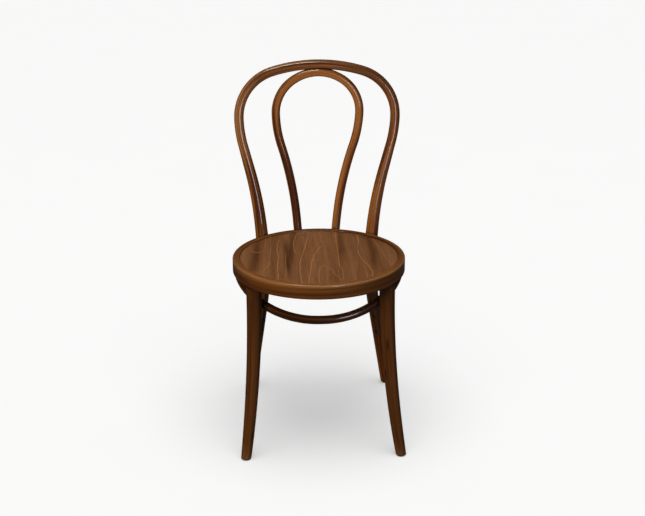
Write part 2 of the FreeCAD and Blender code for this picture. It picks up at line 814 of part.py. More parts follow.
def front_leg(name, side):
    """One front leg, drawn about the centre of its tenon."""
    body = doc.addObject("PartDesign::Body", name)
    sections = []
    for share in reversed(LEG_SHARES):
        thickness = (
            "Sizes.front_foot_diameter + (Sizes.front_leg_diameter - Sizes.front_foot_diameter)"
            f" * {(1 - share) ** TAPER_POWER}"
        )
        lift = f"{BOTTOM} - ({BOTTOM} - {LEG_END}) * {share}"
        sections.append(leg_section(body, f"{name}Section", side, lift, share ** 2, thickness))
    leg_loft(body, f"{name}Shaft", sections)
    foot_rules = (
        (cell("glide_height"), "Sizes.front_foot_diameter - 2 * Sizes.foot_chamfer"),
        (LEG_END, cell("front_foot_diameter")),
    )
    foot = [leg_section(body, f"{name}Foot", side, lift, 1, rule) for lift, rule in foot_rules]
    leg_loft(body, f"{name}FootChamfer", foot)
    tenon_sketch = new_sketch(body, f"{name}TenonOutline", "XY_Plane", BOTTOM)
    draw_circle(tenon_sketch, cell("tenon_diameter"))
    tenon = body.newObject("PartDesign::Pad", f"{name}Tenon")
    tenon.Profile = tenon_sketch
    tenon.setExpression("Length", cell("tenon_length"))
    body.setExpression("Placement.Base.x", f"{side} * Sizes.front_leg_half")
    body.setExpression("Placement.Base.y", "-" + cell("front_leg_forward"))
    doc.recompute()
    return body


# Glides: a turned pad under each foot, nailed on

glide_body = doc.addObject("PartDesign::Body", "GlidePattern")
glide_profile = new_sketch(glide_body, "GlideProfile", "XZ_Plane")
NAIL_HOLE = "Sizes.nail_diameter / 2 + Sizes.hole_clearance"
NAIL_SINK = "Sizes.nail_head_diameter / 2 + Sizes.hole_clearance"
draw_outline(glide_profile, [
    (NAIL_SINK, "0"),
    ("Sizes.glide_diameter / 2 - Sizes.glide_rounding", "0"),
    ("Sizes.glide_diameter / 2", cell("glide_rounding")),
    ("Sizes.glide_diameter / 2", cell("glide_height")),
    (NAIL_HOLE, cell("glide_height")),
    (NAIL_HOLE, "Sizes.nail_head_height + Sizes.nail_head_sink"),
    (NAIL_SINK, "Sizes.nail_head_height + Sizes.nail_head_sink"),
])
revolve(glide_body, glide_profile)
nail_pattern = fastener(
    "glide_nail_pattern", cell("nail_head_diameter"), cell("nail_diameter"),
    cell("nail_length"), cell("nail_head_height"), "Sizes.nail_diameter",
)
front_foot = V(size("front_foot_half"), -size("front_foot_forward"), 0)
front_drift = V(size("front_feet_drift"), 0, 0)
rear_foot_point = rear_leg_at(size("glide_height"))
rear_drift = V(drift_at(size("glide_height"), 0), 0, 0)
feet = {
    "glide_front_left": across(front_foot) + front_drift,
    "glide_front_right": front_foot + front_drift,
    "glide_rear_left": across(rear_foot_point) + rear_drift,
    "glide_rear_right": rear_foot_point + rear_drift,
}
nail_seats = {}
for label, foot in feet.items():
    on_floor = V(foot.x, foot.y, 0)
    finished.append(finish_group(label, glide_body, [FreeCAD.Placement(on_floor, FreeCAD.Rotation())]))
    nail_seats[label] = on_floor + UP * (size("nail_head_height") + size("nail_head_sink"))
finished.append(finish_group(
    "glide_nails", nail_pattern, [facing(seat, UP) for seat in nail_seats.values()]
))


def nail_hole(label):
    return drill(nail_seats[label], UP, cell("nail_diameter"), size("nail_length") + clearance)


# Wood pieces, cut where they meet

ring_zone = doc.addObject("Part::Cylinder", "RingZone")
ring_zone.setExpression("Radius", "Sizes.seat_diameter / 2 + Sizes.joint_gap")
ring_zone.setExpression("Height", "Sizes.ring_height + 2 * Sizes.joint_gap")
ring_zone.setExpression("Placement.Base.z", f"{BOTTOM} - Sizes.joint_gap")
under_floor = doc.addObject("Part::Box", "BelowTheFeet")
under_floor.Length = under_floor.Width = 4 * ring_outer
under_floor.Height = 2 * FLOOR_OVERRUN
under_floor.Placement.Base = V(-2 * ring_outer, -2 * ring_outer, -2 * FLOOR_OVERRUN)
under_floor.setExpression("Placement.Base.z", f"{cell('glide_height')} - {2 * FLOOR_OVERRUN}")
under_ring_box = doc.addObject("Part::Box", "BelowTheRing")
under_ring_box.Length = under_ring_box.Width = 4 * ring_outer
under_ring_box.Height = 2 * FLOOR_OVERRUN
under_ring_box.Placement.Base = V(-2 * ring_outer, -2 * ring_outer, 0)
under_ring_box.setExpression("Placement.Base.z", f"{BOTTOM} - {2 * FLOOR_OVERRUN}")
bow_blank = shape_object("BackBowBlank", bow_rod)
loop_blank = shape_object("InnerLoopBlank", loop_rod)
brace_blank = shape_object("LegBraceBlank", brace_rod)

finished.append(finish_cut(
    "seat_ring", ring_body,
    bolt_holes + holes["loop_foot_screws"] + holes["brace_ring_screws"],
))
finished.append(finish_cut(
    "back_bow", bow_blank,
    [ring_zone, under_floor, nail_hole("glide_rear_left"), nail_hole("glide_rear_right")]
    + bolt_holes + holes["loop_crown_screws"] + holes["brace_rear_screws"],
))
finished.append(finish_cut(
    "inner_loop", loop_blank,
    [ring_zone, under_ring_box, bow_blank]
    + holes["loop_foot_screws"] + holes["loop_crown_screws"],
))
finished.append(finish_cut(
    "leg_brace", brace_blank,
    [ring_zone, bow_blank] + holes["brace_front_screws"] + holes["brace_rear_screws"]
    + holes["brace_ring_screws"],
))
for label, side, glide in (
    ("front_leg_left", -1, "glide_front_left"), ("front_leg_right", 1, "glide_front_right"),
):
    finished.append(finish_cut(
        label, front_leg(f"{label}_blank", side),
        [brace_blank, nail_hole(glide)] + holes["brace_front_screws"],
    ))

doc.recompute()
for made in doc.Objects:
    assert not {"Invalid", "Error"} & set(made.State), f"{made.Label} failed: {made.State}"
for piece in finished:
    assert not piece.Shape.isNull() and piece.Shape.isValid(), f"{piece.Label} is not a valid solid"

os.makedirs("parts", exist_ok=True)
for piece in finished:
    piece.Shape.exportStep(f"parts/{piece.Label}.step")
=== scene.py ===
import bpy
import bmesh
import json
from math import cos, hypot, pi, radians, sin
from mathutils import Matrix, Vector
from mathutils.bvhtree import BVHTree

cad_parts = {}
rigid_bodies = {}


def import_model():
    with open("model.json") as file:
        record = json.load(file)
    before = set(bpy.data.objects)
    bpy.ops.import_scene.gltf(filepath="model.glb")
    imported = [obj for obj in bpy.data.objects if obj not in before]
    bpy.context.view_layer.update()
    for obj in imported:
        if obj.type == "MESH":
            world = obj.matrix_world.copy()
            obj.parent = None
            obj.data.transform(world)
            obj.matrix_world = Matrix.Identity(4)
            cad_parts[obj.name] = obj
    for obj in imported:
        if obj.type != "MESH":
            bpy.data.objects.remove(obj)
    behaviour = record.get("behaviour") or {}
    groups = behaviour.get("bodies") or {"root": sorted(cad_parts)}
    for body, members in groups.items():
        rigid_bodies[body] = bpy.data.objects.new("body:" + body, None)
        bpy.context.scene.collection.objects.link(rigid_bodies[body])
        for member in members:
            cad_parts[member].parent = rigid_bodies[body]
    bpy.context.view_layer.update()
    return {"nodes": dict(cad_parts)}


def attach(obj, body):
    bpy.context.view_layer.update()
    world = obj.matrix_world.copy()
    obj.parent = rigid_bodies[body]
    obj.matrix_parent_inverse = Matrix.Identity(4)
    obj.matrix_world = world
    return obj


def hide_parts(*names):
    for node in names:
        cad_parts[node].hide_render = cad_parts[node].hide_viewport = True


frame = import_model()
nodes = frame["nodes"]

# Back bow: one length of steamed beech that makes the chair's back and both rear legs.
# Thickest at the seat, it is bent hot on an iron form, stained walnut brown and lacquered.


def new_group(name, kind, inputs, outputs):
    """A node group with named inputs, each with a starting value where it has one."""
    tree = bpy.data.node_groups.new(name, kind)
    for title, socket, *start in inputs:
        made = tree.interface.new_socket(name=title, in_out="INPUT", socket_type=socket)
        if start:
            made.default_value = start[0]
    for title, socket in outputs:
        tree.interface.new_socket(name=title, in_out="OUTPUT", socket_type=socket)
    return tree, tree.nodes.new("NodeGroupInput").outputs, tree.nodes.new("NodeGroupOutput")


def add(tree, kind, inputs=None, **settings):
    """A node with its settings, and each input given a value or joined to another node."""
    node = tree.nodes.new(kind)
    for key, value in settings.items():
        setattr(node, key, value)
    for key, value in (inputs or {}).items():
        if isinstance(value, bpy.types.NodeSocket):
            tree.links.new(value, node.inputs[key])
        else:
            node.inputs[key].default_value = value
    return node


def calc(tree, operation, *values):
    return add(tree, "ShaderNodeMath", dict(enumerate(values)), operation=operation).outputs[0]


def times(tree, first, second):
    return calc(tree, "MULTIPLY", first, second)


def span(tree, value, low, high, to_low=0.0, to_high=1.0, smooth=False):
    """A value carried from one range to another and held at its ends."""
    shape = "SMOOTHSTEP" if smooth else "LINEAR"
    inputs = {0: value, 1: low, 2: high, 3: to_low, 4: to_high}
    return add(tree, "ShaderNodeMapRange", inputs, interpolation_type=shape).outputs[0]


rod_tree, rod_in, rod_out = new_group("bent_rod", "GeometryNodeTree", [
    ("Corners", "NodeSocketGeometry"),
    ("Middle", "NodeSocketFloat", 0.5),
    ("First station", "NodeSocketFloat"),
    ("Second station", "NodeSocketFloat"),
    ("Last station", "NodeSocketFloat"),
    ("First thickness", "NodeSocketFloat"),
    ("Second thickness", "NodeSocketFloat"),
    ("Last thickness", "NodeSocketFloat"),
    ("Taper power", "NodeSocketFloat", 1.0),
    ("Unevenness", "NodeSocketFloat"),
    ("Seed", "NodeSocketFloat"),
    ("Finish", "NodeSocketMaterial"),
], [("Rod", "NodeSocketGeometry")])
rod_line = add(rod_tree, "GeometryNodeMeshToCurve", {"Mesh": rod_in["Corners"]})
bend_radius = add(rod_tree, "GeometryNodeInputNamedAttribute", {"Name": "bend_radius"},
                  data_type="FLOAT")
rod_bends = add(rod_tree, "GeometryNodeFilletCurve", {
    "Curve": rod_line.outputs[0], "Count": 40, "Radius": bend_radius.outputs[0],
    "Limit Radius": False,
}, mode="POLY")
rod_walk = add(rod_tree, "GeometryNodeResampleCurve", {
    "Curve": rod_bends.outputs[0], "Length": 0.004,
}, mode="LENGTH")
along = add(rod_tree, "GeometryNodeSplineParameter").outputs["Length"]
whole = add(rod_tree, "GeometryNodeSplineLength").outputs["Length"]
from_middle = calc(rod_tree, "ABSOLUTE", calc(
    rod_tree, "SUBTRACT", along, times(rod_tree, whole, rod_in["Middle"])
))
upper_thickness = span(
    rod_tree, from_middle, rod_in["First station"], rod_in["Second station"],
    rod_in["First thickness"], rod_in["Second thickness"],
)
left_to_go = span(rod_tree, from_middle, rod_in["Second station"], rod_in["Last station"], 1.0, 0.0)
eased = calc(rod_tree, "POWER", left_to_go, rod_in["Taper power"])
lower_change = calc(
    rod_tree, "MULTIPLY", calc(rod_tree, "SUBTRACT", 1.0, eased),
    calc(rod_tree, "SUBTRACT", rod_in["Last thickness"], rod_in["Second thickness"]),
)
hand_shaving = add(rod_tree, "ShaderNodeTexNoise", {
    "W": calc(rod_tree, "MULTIPLY_ADD", along, 22.0, rod_in["Seed"]), "Scale": 1.0, "Detail": 1.0,
}, noise_dimensions="1D").outputs[0]
shaved = calc(
    rod_tree, "MULTIPLY", calc(rod_tree, "SUBTRACT", hand_shaving, 0.5), rod_in["Unevenness"]
)
thickness = calc(rod_tree, "ADD", calc(rod_tree, "ADD", upper_thickness, lower_change), shaved)
half_thickness = times(rod_tree, thickness, 0.5)


def store(tree, geometry, name, value, kind):
    return add(tree, "GeometryNodeStoreNamedAttribute", {
        "Geometry": geometry, "Name": name, "Value": value,
    }, data_type=kind, domain="POINT").outputs[0]


def named(tree, name, kind):
    return add(tree, "GeometryNodeInputNamedAttribute", {"Name": name}, data_type=kind).outputs[0]


rod_measured = store(rod_tree, rod_walk.outputs[0], "grain_along", along, "FLOAT")
rod_measured = store(rod_tree, rod_measured, "grain_half", half_thickness, "FLOAT")
rod_round = add(rod_tree, "GeometryNodeCurvePrimitiveCircle", {"Resolution": 30, "Radius": 1.0})
rod_section = store(
    rod_tree, rod_round.outputs[0], "grain_across",
    add(rod_tree, "GeometryNodeInputPosition").outputs[0], "FLOAT_VECTOR",
)
rod_skin = add(rod_tree, "GeometryNodeCurveToMesh", {
    "Curve": rod_measured, "Profile Curve": rod_section,
    "Scale": named(rod_tree, "grain_half", "FLOAT"), "Fill Caps": True,
}).outputs[0]
grain_offset = add(rod_tree, "ShaderNodeVectorMath", {
    0: named(rod_tree, "grain_across", "FLOAT_VECTOR"),
    "Scale": named(rod_tree, "grain_half", "FLOAT"),
}, operation="SCALE").outputs[0]
grain_length = add(rod_tree, "ShaderNodeCombineXYZ", {"Z": named(rod_tree, "grain_along", "FLOAT")})
grain_place = add(rod_tree, "ShaderNodeVectorMath", {
    0: grain_offset, 1: grain_length.outputs[0],
}, operation="ADD").outputs[0]
rod_grained = store(rod_tree, rod_skin, "grain", grain_place, "FLOAT_VECTOR")
for spare in ("grain_across", "grain_along", "grain_half", "bend_radius"):
    rod_grained = add(rod_tree, "GeometryNodeRemoveAttribute", {
        "Geometry": rod_grained, "Name": spare,
    }).outputs[0]
rod_smooth = add(rod_tree, "GeometryNodeSetShadeSmooth", {"Geometry": rod_grained})
rod_real = add(rod_tree, "GeometryNodeRealizeInstances", {"Geometry": rod_smooth.outputs[0]})
rod_finish = add(rod_tree, "GeometryNodeSetMaterial", {
    "Geometry": rod_real.outputs[0], "Material": rod_in["Finish"],
})
rod_tree.links.new(rod_finish.outputs[0], rod_out.inputs[0])


def grow(name, tree, start, **sizes):
    """Run a Geometry Nodes tree on a starting mesh and keep what it makes as a plain mesh."""
    maker = bpy.data.objects.new(f"{name}_start", start)
    bpy.context.scene.collection.objects.link(maker)
    modifier = maker.modifiers.new("maker", "NODES")
    modifier.node_group = tree
    sockets = {s.name: s.identifier for s in tree.interface.items_tree if s.in_out == "INPUT"}
    for title, value in sizes.items():
        modifier[sockets[title.replace("_", " ").capitalize()]] = value
    graph = bpy.context.evaluated_depsgraph_get()
    mesh = bpy.data.meshes.new_from_object(
        maker.evaluated_get(graph), preserve_all_data_layers=True, depsgraph=graph
    )
    mesh.name = name
    maker.modifiers.clear()
    bpy.data.objects.remove(maker)
    return mesh


def bent_rod(name, corners, **sizes):
    """A rod along straight runs that bends in an arc at each corner (x, y, z, bend radius)."""
    line = bpy.data.meshes.new(f"{name}_line")
    line.from_pydata([c[:3] for c in corners], [(i, i + 1) for i in range(len(corners) - 1)], [])
    radii = line.attributes.new("bend_radius", "FLOAT", "POINT")
    radii.data.foreach_set("value", [c[3] for c in corners])
    return grow(name, rod_tree, line, **sizes)


def saw_level(mesh, height, drop_above=False):
    """Saw a rod off level at a height and leave a flat end."""
    bm = bmesh.new()
    bm.from_mesh(mesh)
    cut = bmesh.ops.bisect_plane(
        bm, geom=bm.verts[:] + bm.edges[:] + bm.faces[:], plane_co=(0, 0, height),
        plane_no=(0, 0, 1), clear_inner=not drop_above, clear_outer=drop_above,
    )
    rim = [e for e in cut["geom_cut"] if isinstance(e, bmesh.types.BMEdge)]
    bmesh.ops.holes_fill(bm, edges=rim, sides=0)
    bm.to_mesh(mesh)
    bm.free()


def ease_ends(mesh, width):
    """Break the sharp edges round a rod's flat ends."""
    bm = bmesh.new()
    bm.from_mesh(mesh)
    caps = [f for f in bm.faces if len(f.verts) > 4]
    for cap in caps:
        cap.smooth = False
    rims = list({e for cap in caps for e in cap.edges})
    bmesh.ops.bevel(
        bm, geom=rims, offset=width, offset_type="OFFSET", segments=2, profile=0.6,
        affect="EDGES", clamp_overlap=True,
    )
    bmesh.ops.recalc_face_normals(bm, faces=bm.faces)
    bm.to_mesh(mesh)
    bm.free()


def mark_joints(mesh, neighbours, reach=0.012):
    """Store how near the surface is to the pieces it meets, where the colour is darkened: dust, and
    painted shade in the joints.
    """
    trees = []
    for neighbour in neighbours:
        data = nodes[neighbour].data
        trees.append(BVHTree.FromPolygons(
            [v.co for v in data.vertices], [p.vertices for p in data.polygons]
        ))
    near = []
    for v in mesh.vertices:
        hits = [tree.find_nearest(v.co, reach)[3] for tree in trees]
        near.append(1 - min([h for h in hits if h is not None], default=reach) / reach)
    mesh.attributes.new("joint", "FLOAT", "POINT").data.foreach_set("value", near)


# The stain and the lie of the grain, shared by every solid beech piece. The grain place is
# (across, across, along) in metres, so the figure runs with the wood round every bend.
stain_tree, stain_in, stain_out = new_group("stained_beech", "ShaderNodeTree", [
    ("Place", "NodeSocketVector"),
    ("Joint", "NodeSocketFloat", 0.0),
    ("Wear", "NodeSocketFloat", 0.0),
    ("Light", "NodeSocketColor", (0.17, 0.062, 0.020, 1)),
    ("Deep", "NodeSocketColor", (0.045, 0.013, 0.003, 1)),
    ("Bare", "NodeSocketColor", (0.34, 0.16, 0.06, 1)),
    ("Shift", "NodeSocketFloat", 0.0),
    ("Streaks", "NodeSocketFloat", 1.0),
    ("Knots", "NodeSocketFloat", 0.8),
], [("Colour", "NodeSocketColor"), ("Roughness", "NodeSocketFloat"), ("Height", "NodeSocketFloat")])


def stretched(tree, place, across, lengthwise, **settings):
    """Noise drawn out along the wood: so many changes per metre across and lengthwise."""
    drawn = add(tree, "ShaderNodeVectorMath", {0: place, 1: (across, across, lengthwise)},
                operation="MULTIPLY")
    return add(tree, "ShaderNodeTexNoise", {
        "Vector": drawn.outputs[0], "Scale": 1.0, **settings,
    }).outputs[0]


def colour_mix(tree, share, under, over):
    return add(tree, "ShaderNodeMix", {0: share, 6: under, 7: over}, data_type="RGBA").outputs[2]


def tinted(tree, under, mask, amount, tint):
    """A colour laid over another where a mask says so, at most as strongly as the amount."""
    return colour_mix(tree, times(tree, mask, amount), under, (*tint, 1))


def noise(tree, place, scale, detail):
    return add(tree, "ShaderNodeTexNoise", {
        "Vector": place, "Scale": scale, "Detail": detail,
    }).outputs[0]


def object_axes(tree):
    """The places X, Y and Z on the piece itself, in metres."""
    place = add(tree, "ShaderNodeTexCoord").outputs["Object"]
    return add(tree, "ShaderNodeSeparateXYZ", {0: place}).outputs


shift = add(stain_tree, "ShaderNodeCombineXYZ", {"X": stain_in["Shift"], "Z": stain_in["Shift"]})
wood_place = add(stain_tree, "ShaderNodeVectorMath", {0: stain_in["Place"], 1: shift.outputs[0]},
                 operation="ADD").outputs[0]
tone = stretched(stain_tree, wood_place, 38.0, 2.2, Detail=2.0, Roughness=0.5)
band = stretched(stain_tree, wood_place, 170.0, 2.6, Detail=3.0, Roughness=0.55, Distortion=0.4)
fibre = stretched(stain_tree, wood_place, 620.0, 7.0, Detail=4.0, Roughness=0.6)
fleck = stretched(stain_tree, wood_place, 1500.0, 95.0, Detail=2.0, Roughness=0.5)
knot_place = add(stain_tree, "ShaderNodeVectorMath", {0: wood_place, 1: (42.0, 42.0, 7.5)},
                 operation="MULTIPLY").outputs[0]
knot_field = add(stain_tree, "ShaderNodeTexVoronoi", {
    "Vector": knot_place, "Scale": 1.0,
}).outputs["Distance"]
knots = span(stain_tree, knot_field, 0.03, 0.16, 1.0, 0.0, smooth=True)
mixed = calc(stain_tree, "ADD", times(stain_tree, span(stain_tree, tone, 0.3, 0.7), 0.40),
             times(stain_tree, span(stain_tree, band, 0.3, 0.7), 0.36))
mixed = calc(stain_tree, "ADD", mixed, times(stain_tree, span(stain_tree, fibre, 0.25, 0.75), 0.24))
uneven = times(stain_tree, calc(stain_tree, "SUBTRACT", mixed, 0.5), stain_in["Streaks"])
depth = span(stain_tree, calc(stain_tree, "ADD", 0.5, uneven), 0.22, 0.80)
stained = colour_mix(stain_tree, depth, stain_in["Deep"], stain_in["Light"])
pores = span(stain_tree, fleck, 0.60, 0.72)
stained = tinted(stain_tree, stained, pores, 0.45, (0.018, 0.006, 0.002))
stained = tinted(stain_tree, stained, knots, stain_in["Knots"], (0.012, 0.004, 0.002))
# Paler colour where the mask says so: rubbed wood, and on the rim and the bow's left flank a painted
# highlight and painted light.
worn_and_lit = times(stain_tree, stain_in["Wear"], span(stain_tree, band, 0.35, 0.62))
stained = colour_mix(stain_tree, worn_and_lit, stained, stain_in["Bare"])
# Near the pieces it meets, the wood is darkened almost to black: dust, and painted shade in the joints.
grime_and_shade = span(stain_tree, stain_in["Joint"], 0.45, 0.98, smooth=True)
stained = tinted(stain_tree, stained, grime_and_shade, 0.85, (0.010, 0.004, 0.002))
gloss = calc(stain_tree, "ADD", span(stain_tree, fibre, 0.3, 0.7, 0.30, 0.42),
             times(stain_tree, grime_and_shade, 0.22))
relief = calc(stain_tree, "SUBTRACT", times(stain_tree, fibre, 0.6), times(stain_tree, pores, 0.5))
stain_tree.links.new(stained, stain_out.inputs["Colour"])
stain_tree.links.new(gloss, stain_out.inputs["Roughness"])
stain_tree.links.new(relief, stain_out.inputs["Height"])


def lacquered(name, wear_and_light=None, bump=0.25, coat=0.6, coat_roughness=0.11, **stain):
    """A satin-lacquered beech finish. The optional mask maker gives, from the tree, the places made
    paler: rubbed places, and painted light on the rim and the bow's left flank.
    """
    finish = bpy.data.materials.new(name)
    finish.use_nodes = True
    tree = finish.node_tree
    tree.nodes.clear()
    grain = add(tree, "ShaderNodeAttribute", attribute_name="grain").outputs["Vector"]
    joint = add(tree, "ShaderNodeAttribute", attribute_name="joint").outputs["Fac"]
    inputs = {"Place": grain, "Joint": joint}
    if wear_and_light:
        inputs["Wear"] = wear_and_light(tree)
    wood = add(tree, "ShaderNodeGroup", node_tree=stain_tree)
    for key, value in {**inputs, **stain}.items():
        if isinstance(value, bpy.types.NodeSocket):
            tree.links.new(value, wood.inputs[key])
        else:
            wood.inputs[key].default_value = value
    raised = add(tree, "ShaderNodeBump", {
        "Height": wood.outputs["Height"], "Strength": bump, "Distance": 0.0004,
    })
    shader = add(tree, "ShaderNodeBsdfPrincipled", {
        "Base Color": wood.outputs["Colour"], "Roughness": wood.outputs["Roughness"],
        "Normal": raised.outputs[0], "Specular IOR Level": 0.22, "Coat Weight": coat,
        "Coat Roughness": coat_roughness, "IOR": 1.48,
    })
    out = add(tree, "ShaderNodeOutputMaterial")
    tree.links.new(shader.outputs[0], out.inputs[0])
    return finish


def keep_piece(name, mesh, slot, *replaced):
    """Put a finished mesh into the scene on the chair's one body."""
    piece = bpy.data.objects.new(name, mesh)
    bpy.context.scene.collection.objects.link(piece)
    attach(piece, "root")
    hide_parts(*replaced)
    return piece


def high_wear_and_light(tree, low, high, amount):
    """Paler places between two heights: rubbed places, and on the bow's left flank painted light."""
    return times(tree, span(tree, object_axes(tree)["Z"], low, high, smooth=True), amount)


def bow_wear_and_flank_light(tree):
    """The bow is rubbed along its top. Its left flank, where it is carried, is palest: rubbed, and
    painted light on that side.
    """
    across = object_axes(tree)["X"]
    # Painted light, with rubbing: the left flank is made paler, as if light fell on that side.
    flank_wear_and_light = times(tree, span(tree, across, -0.11, -0.17, smooth=True),
                     high_wear_and_light(tree, 0.58, 0.68, 0.75))
    return calc(tree, "MAXIMUM", flank_wear_and_light, high_wear_and_light(tree, 0.70, 0.88, 0.30))


bow_finish = lacquered(
    "bow_beech", wear_and_light=bow_wear_and_flank_light, Shift=0.0, Streaks=2.0,
    Light=(0.280, 0.103, 0.021, 1), Deep=(0.052, 0.013, 0.002, 1),
)
bow_mesh = bent_rod("bow", [
    (-0.17697, 0.22941, -0.03000, 0),
    (-0.13067, 0.16041, 0.32100, 0.9036),
    (-0.13391, 0.13701, 0.44000, 0.2309),
    (-0.14520, 0.15789, 0.54820, 0.8841),
    (-0.18545, 0.18789, 0.70370, 0.2880),
    (-0.18885, 0.21119, 0.82450, 0.1173),
    (-0.04670, 0.21911, 0.86550, 0.3872),
    (0.06470, 0.21911, 0.86550, 0.3839),
    (0.20555, 0.21119, 0.82450, 0.1130),
    (0.19835, 0.18789, 0.70370, 0.2911),
    (0.15320, 0.15789, 0.54820, 0.8975),
    (0.13851, 0.13701, 0.44000, 0.2234),
    (0.13835, 0.16041, 0.32100, 0.9062),
    (0.19374, 0.22941, -0.03000, 0),
], first_station=0.3305, second_station=0.6178, last_station=1.0541,
    first_thickness=0.0238, second_thickness=0.0330, last_thickness=0.0250,
    unevenness=0.0003, seed=3.0, finish=bow_finish)
saw_level(bow_mesh, 0.0035)
ease_ends(bow_mesh, 0.0012)
mark_joints(bow_mesh, ["seat_ring", "inner_loop", "leg_brace"])
keep_piece("bow_and_rear_legs", bow_mesh, "bent_beech", "back_bow")

# Inner loop: a thinner bent rod that stands inside the bow. It is screwed up into the bow's
# crown and forward into the seat ring, where its two feet are sawn level.
loop_finish = lacquered(
    "loop_beech", wear_and_light=lambda tree: high_wear_and_light(tree, 0.72, 0.86, 0.20), Shift=7.3, Streaks=2.0,
    Light=(0.270, 0.098, 0.020, 1), Deep=(0.050, 0.012, 0.002, 1),
)
loop_mesh = bent_rod("loop", [
    (-0.03953, 0.17240, 0.39200, 0),
    (-0.05401, 0.18986, 0.57360, 0.8709),
    (-0.09455, 0.20252, 0.70524, 0.2821),
    (-0.09566, 0.21166, 0.80034, 0.0971),
    (-0.02040, 0.21611, 0.84654, 0.1100),
    (0.04200, 0.21611, 0.84654, 0.1076),
    (0.11534, 0.21166, 0.80034, 0.0933),
    (0.11025, 0.20252, 0.70524, 0.2866),
    (0.06419, 0.18986, 0.57360, 0.8281),
    (0.04537, 0.17240, 0.39200, 0),
], first_station=0.2, second_station=0.4, last_station=0.5,
    first_thickness=0.0210, second_thickness=0.0210, last_thickness=0.0210,
    unevenness=0.0003, seed=11.0, finish=loop_finish)
saw_level(loop_mesh, 0.422)
ease_ends(loop_mesh, 0.0010)
mark_joints(loop_mesh, ["seat_ring", "back_bow"])
keep_piece("loop", loop_mesh, "bent_beech", "inner_loop")

# Leg brace: one bent rod that runs from a rear leg forward under the seat ring, round the
# insides of the front legs and back again. It is notched and screwed wherever it touches.
brace_finish = lacquered(
    "brace_beech", Shift=15.1, Light=(0.160, 0.053, 0.011, 1), Deep=(0.032, 0.009, 0.001, 1),
)
brace_mesh = bent_rod("brace", [
    (-0.15109, 0.16934, 0.16150, 0),
    (-0.13061, 0.13882, 0.31676, 0.7402),
    (-0.13356, 0.11990, 0.41300, 0.0456),
    (-0.18403, 0.06155, 0.41300, 0.1163),
    (-0.19188, -0.04645, 0.41300, 0.0723),
    (-0.16634, -0.09844, 0.38425, 0.1492),
    (-0.07600, -0.15504, 0.34050, 0.2053),
    (0.07600, -0.15504, 0.34050, 0.2053),
    (0.16634, -0.09844, 0.38425, 0.1492),
    (0.19188, -0.04645, 0.41300, 0.0723),
    (0.18403, 0.06155, 0.41300, 0.1222),
    (0.13886, 0.11990, 0.41300, 0.0432),
    (0.13841, 0.13882, 0.31676, 0.7422),
    (0.16291, 0.16934, 0.16150, 0),
], first_station=0.2, second_station=0.4, last_station=0.6,
    first_thickness=0.0200, second_thickness=0.0200, last_thickness=0.0200,
    unevenness=0.0003, seed=23.0, finish=brace_finish)
ease_ends(brace_mesh, 0.0012)
mark_joints(brace_mesh, ["seat_ring", "back_bow", "front_leg_left", "front_leg_right"])
keep_piece("brace", brace_mesh, "bent_beech", "leg_brace")

# Front legs: turned tapering beech, bent outward towards the foot. A tenon on top is glued
# into the seat ring, and the brace is let into the back of each leg.
LEG_TOP = 0.422
LEG_FOOT = 0.0051


def leg_corners(side):
    """Places down the middle of a leg, which swings out with the square of the way down."""
    corners = []
    for step in range(45):
        share = step / 44 * 1.04 - 0.02
        swing = share * abs(share)
        corners.append((
            side * (0.15404 + 0.0304 * swing) + 0.003 * swing,
            -0.13704 - 0.0480 * swing,
            LEG_TOP - (LEG_TOP - LEG_FOOT) * share,
            0,
        ))
    return corners


for side_name, side, leg_shift in (("left", -1, 21.7), ("right", 1, 29.4)):
    leg_finish = lacquered(
        f"front_leg_beech_{side_name}", Shift=leg_shift,
        wear_and_light=lambda tree: high_wear_and_light(tree, 0.05, 0.0, 0.3),
        Light=(0.165, 0.057, 0.010, 1), Deep=(0.062, 0.018, 0.002, 1),
    )
    leg_mesh = bent_rod(
        f"front_leg_{side_name}", leg_corners(side), middle=0.0,
        first_station=0.0, second_station=0.0083, last_station=0.4286,
        first_thickness=0.0370, second_thickness=0.0370, last_thickness=0.0244,
        taper_power=0.7, unevenness=0.0002, seed=leg_shift, finish=leg_finish,
    )
    saw_level(leg_mesh, LEG_TOP, drop_above=True)
    saw_level(leg_mesh, 0.0035)
    ease_ends(leg_mesh, 0.0014)
    mark_joints(leg_mesh, ["seat_ring", "leg_brace"])
    keep_piece(f"turned_leg_{side_name}", leg_mesh, "bent_beech", f"front_leg_{side_name}")

# Seat ring: a beech strip bent into a hoop and scarfed at the back, then turned to shape with
# a rounded rim and a rabbet inside it for the panel. The legs' tenons come up into it.
SEAT_Y = -0.0310127
RING_STEPS = 240


def rounded(corners):
    """A closed profile whose corners (radius, height, rounding) are arcs of seven places."""
    profile = []
    for i, (r, z, rounding) in enumerate(corners):
        at = Vector((r, z))
        if not rounding:
            profile.append(at)
            continue
        before = (Vector(corners[i - 1][:2]) - at).normalized()
        after = (Vector(corners[(i + 1) % len(corners)][:2]) - at).normalized()
        centre = at + (before + after) * rounding
        for step in range(7):
            turn = pi / 2 * step / 6
            profile.append(centre - after * rounding * cos(turn) - before * rounding * sin(turn))
    return profile


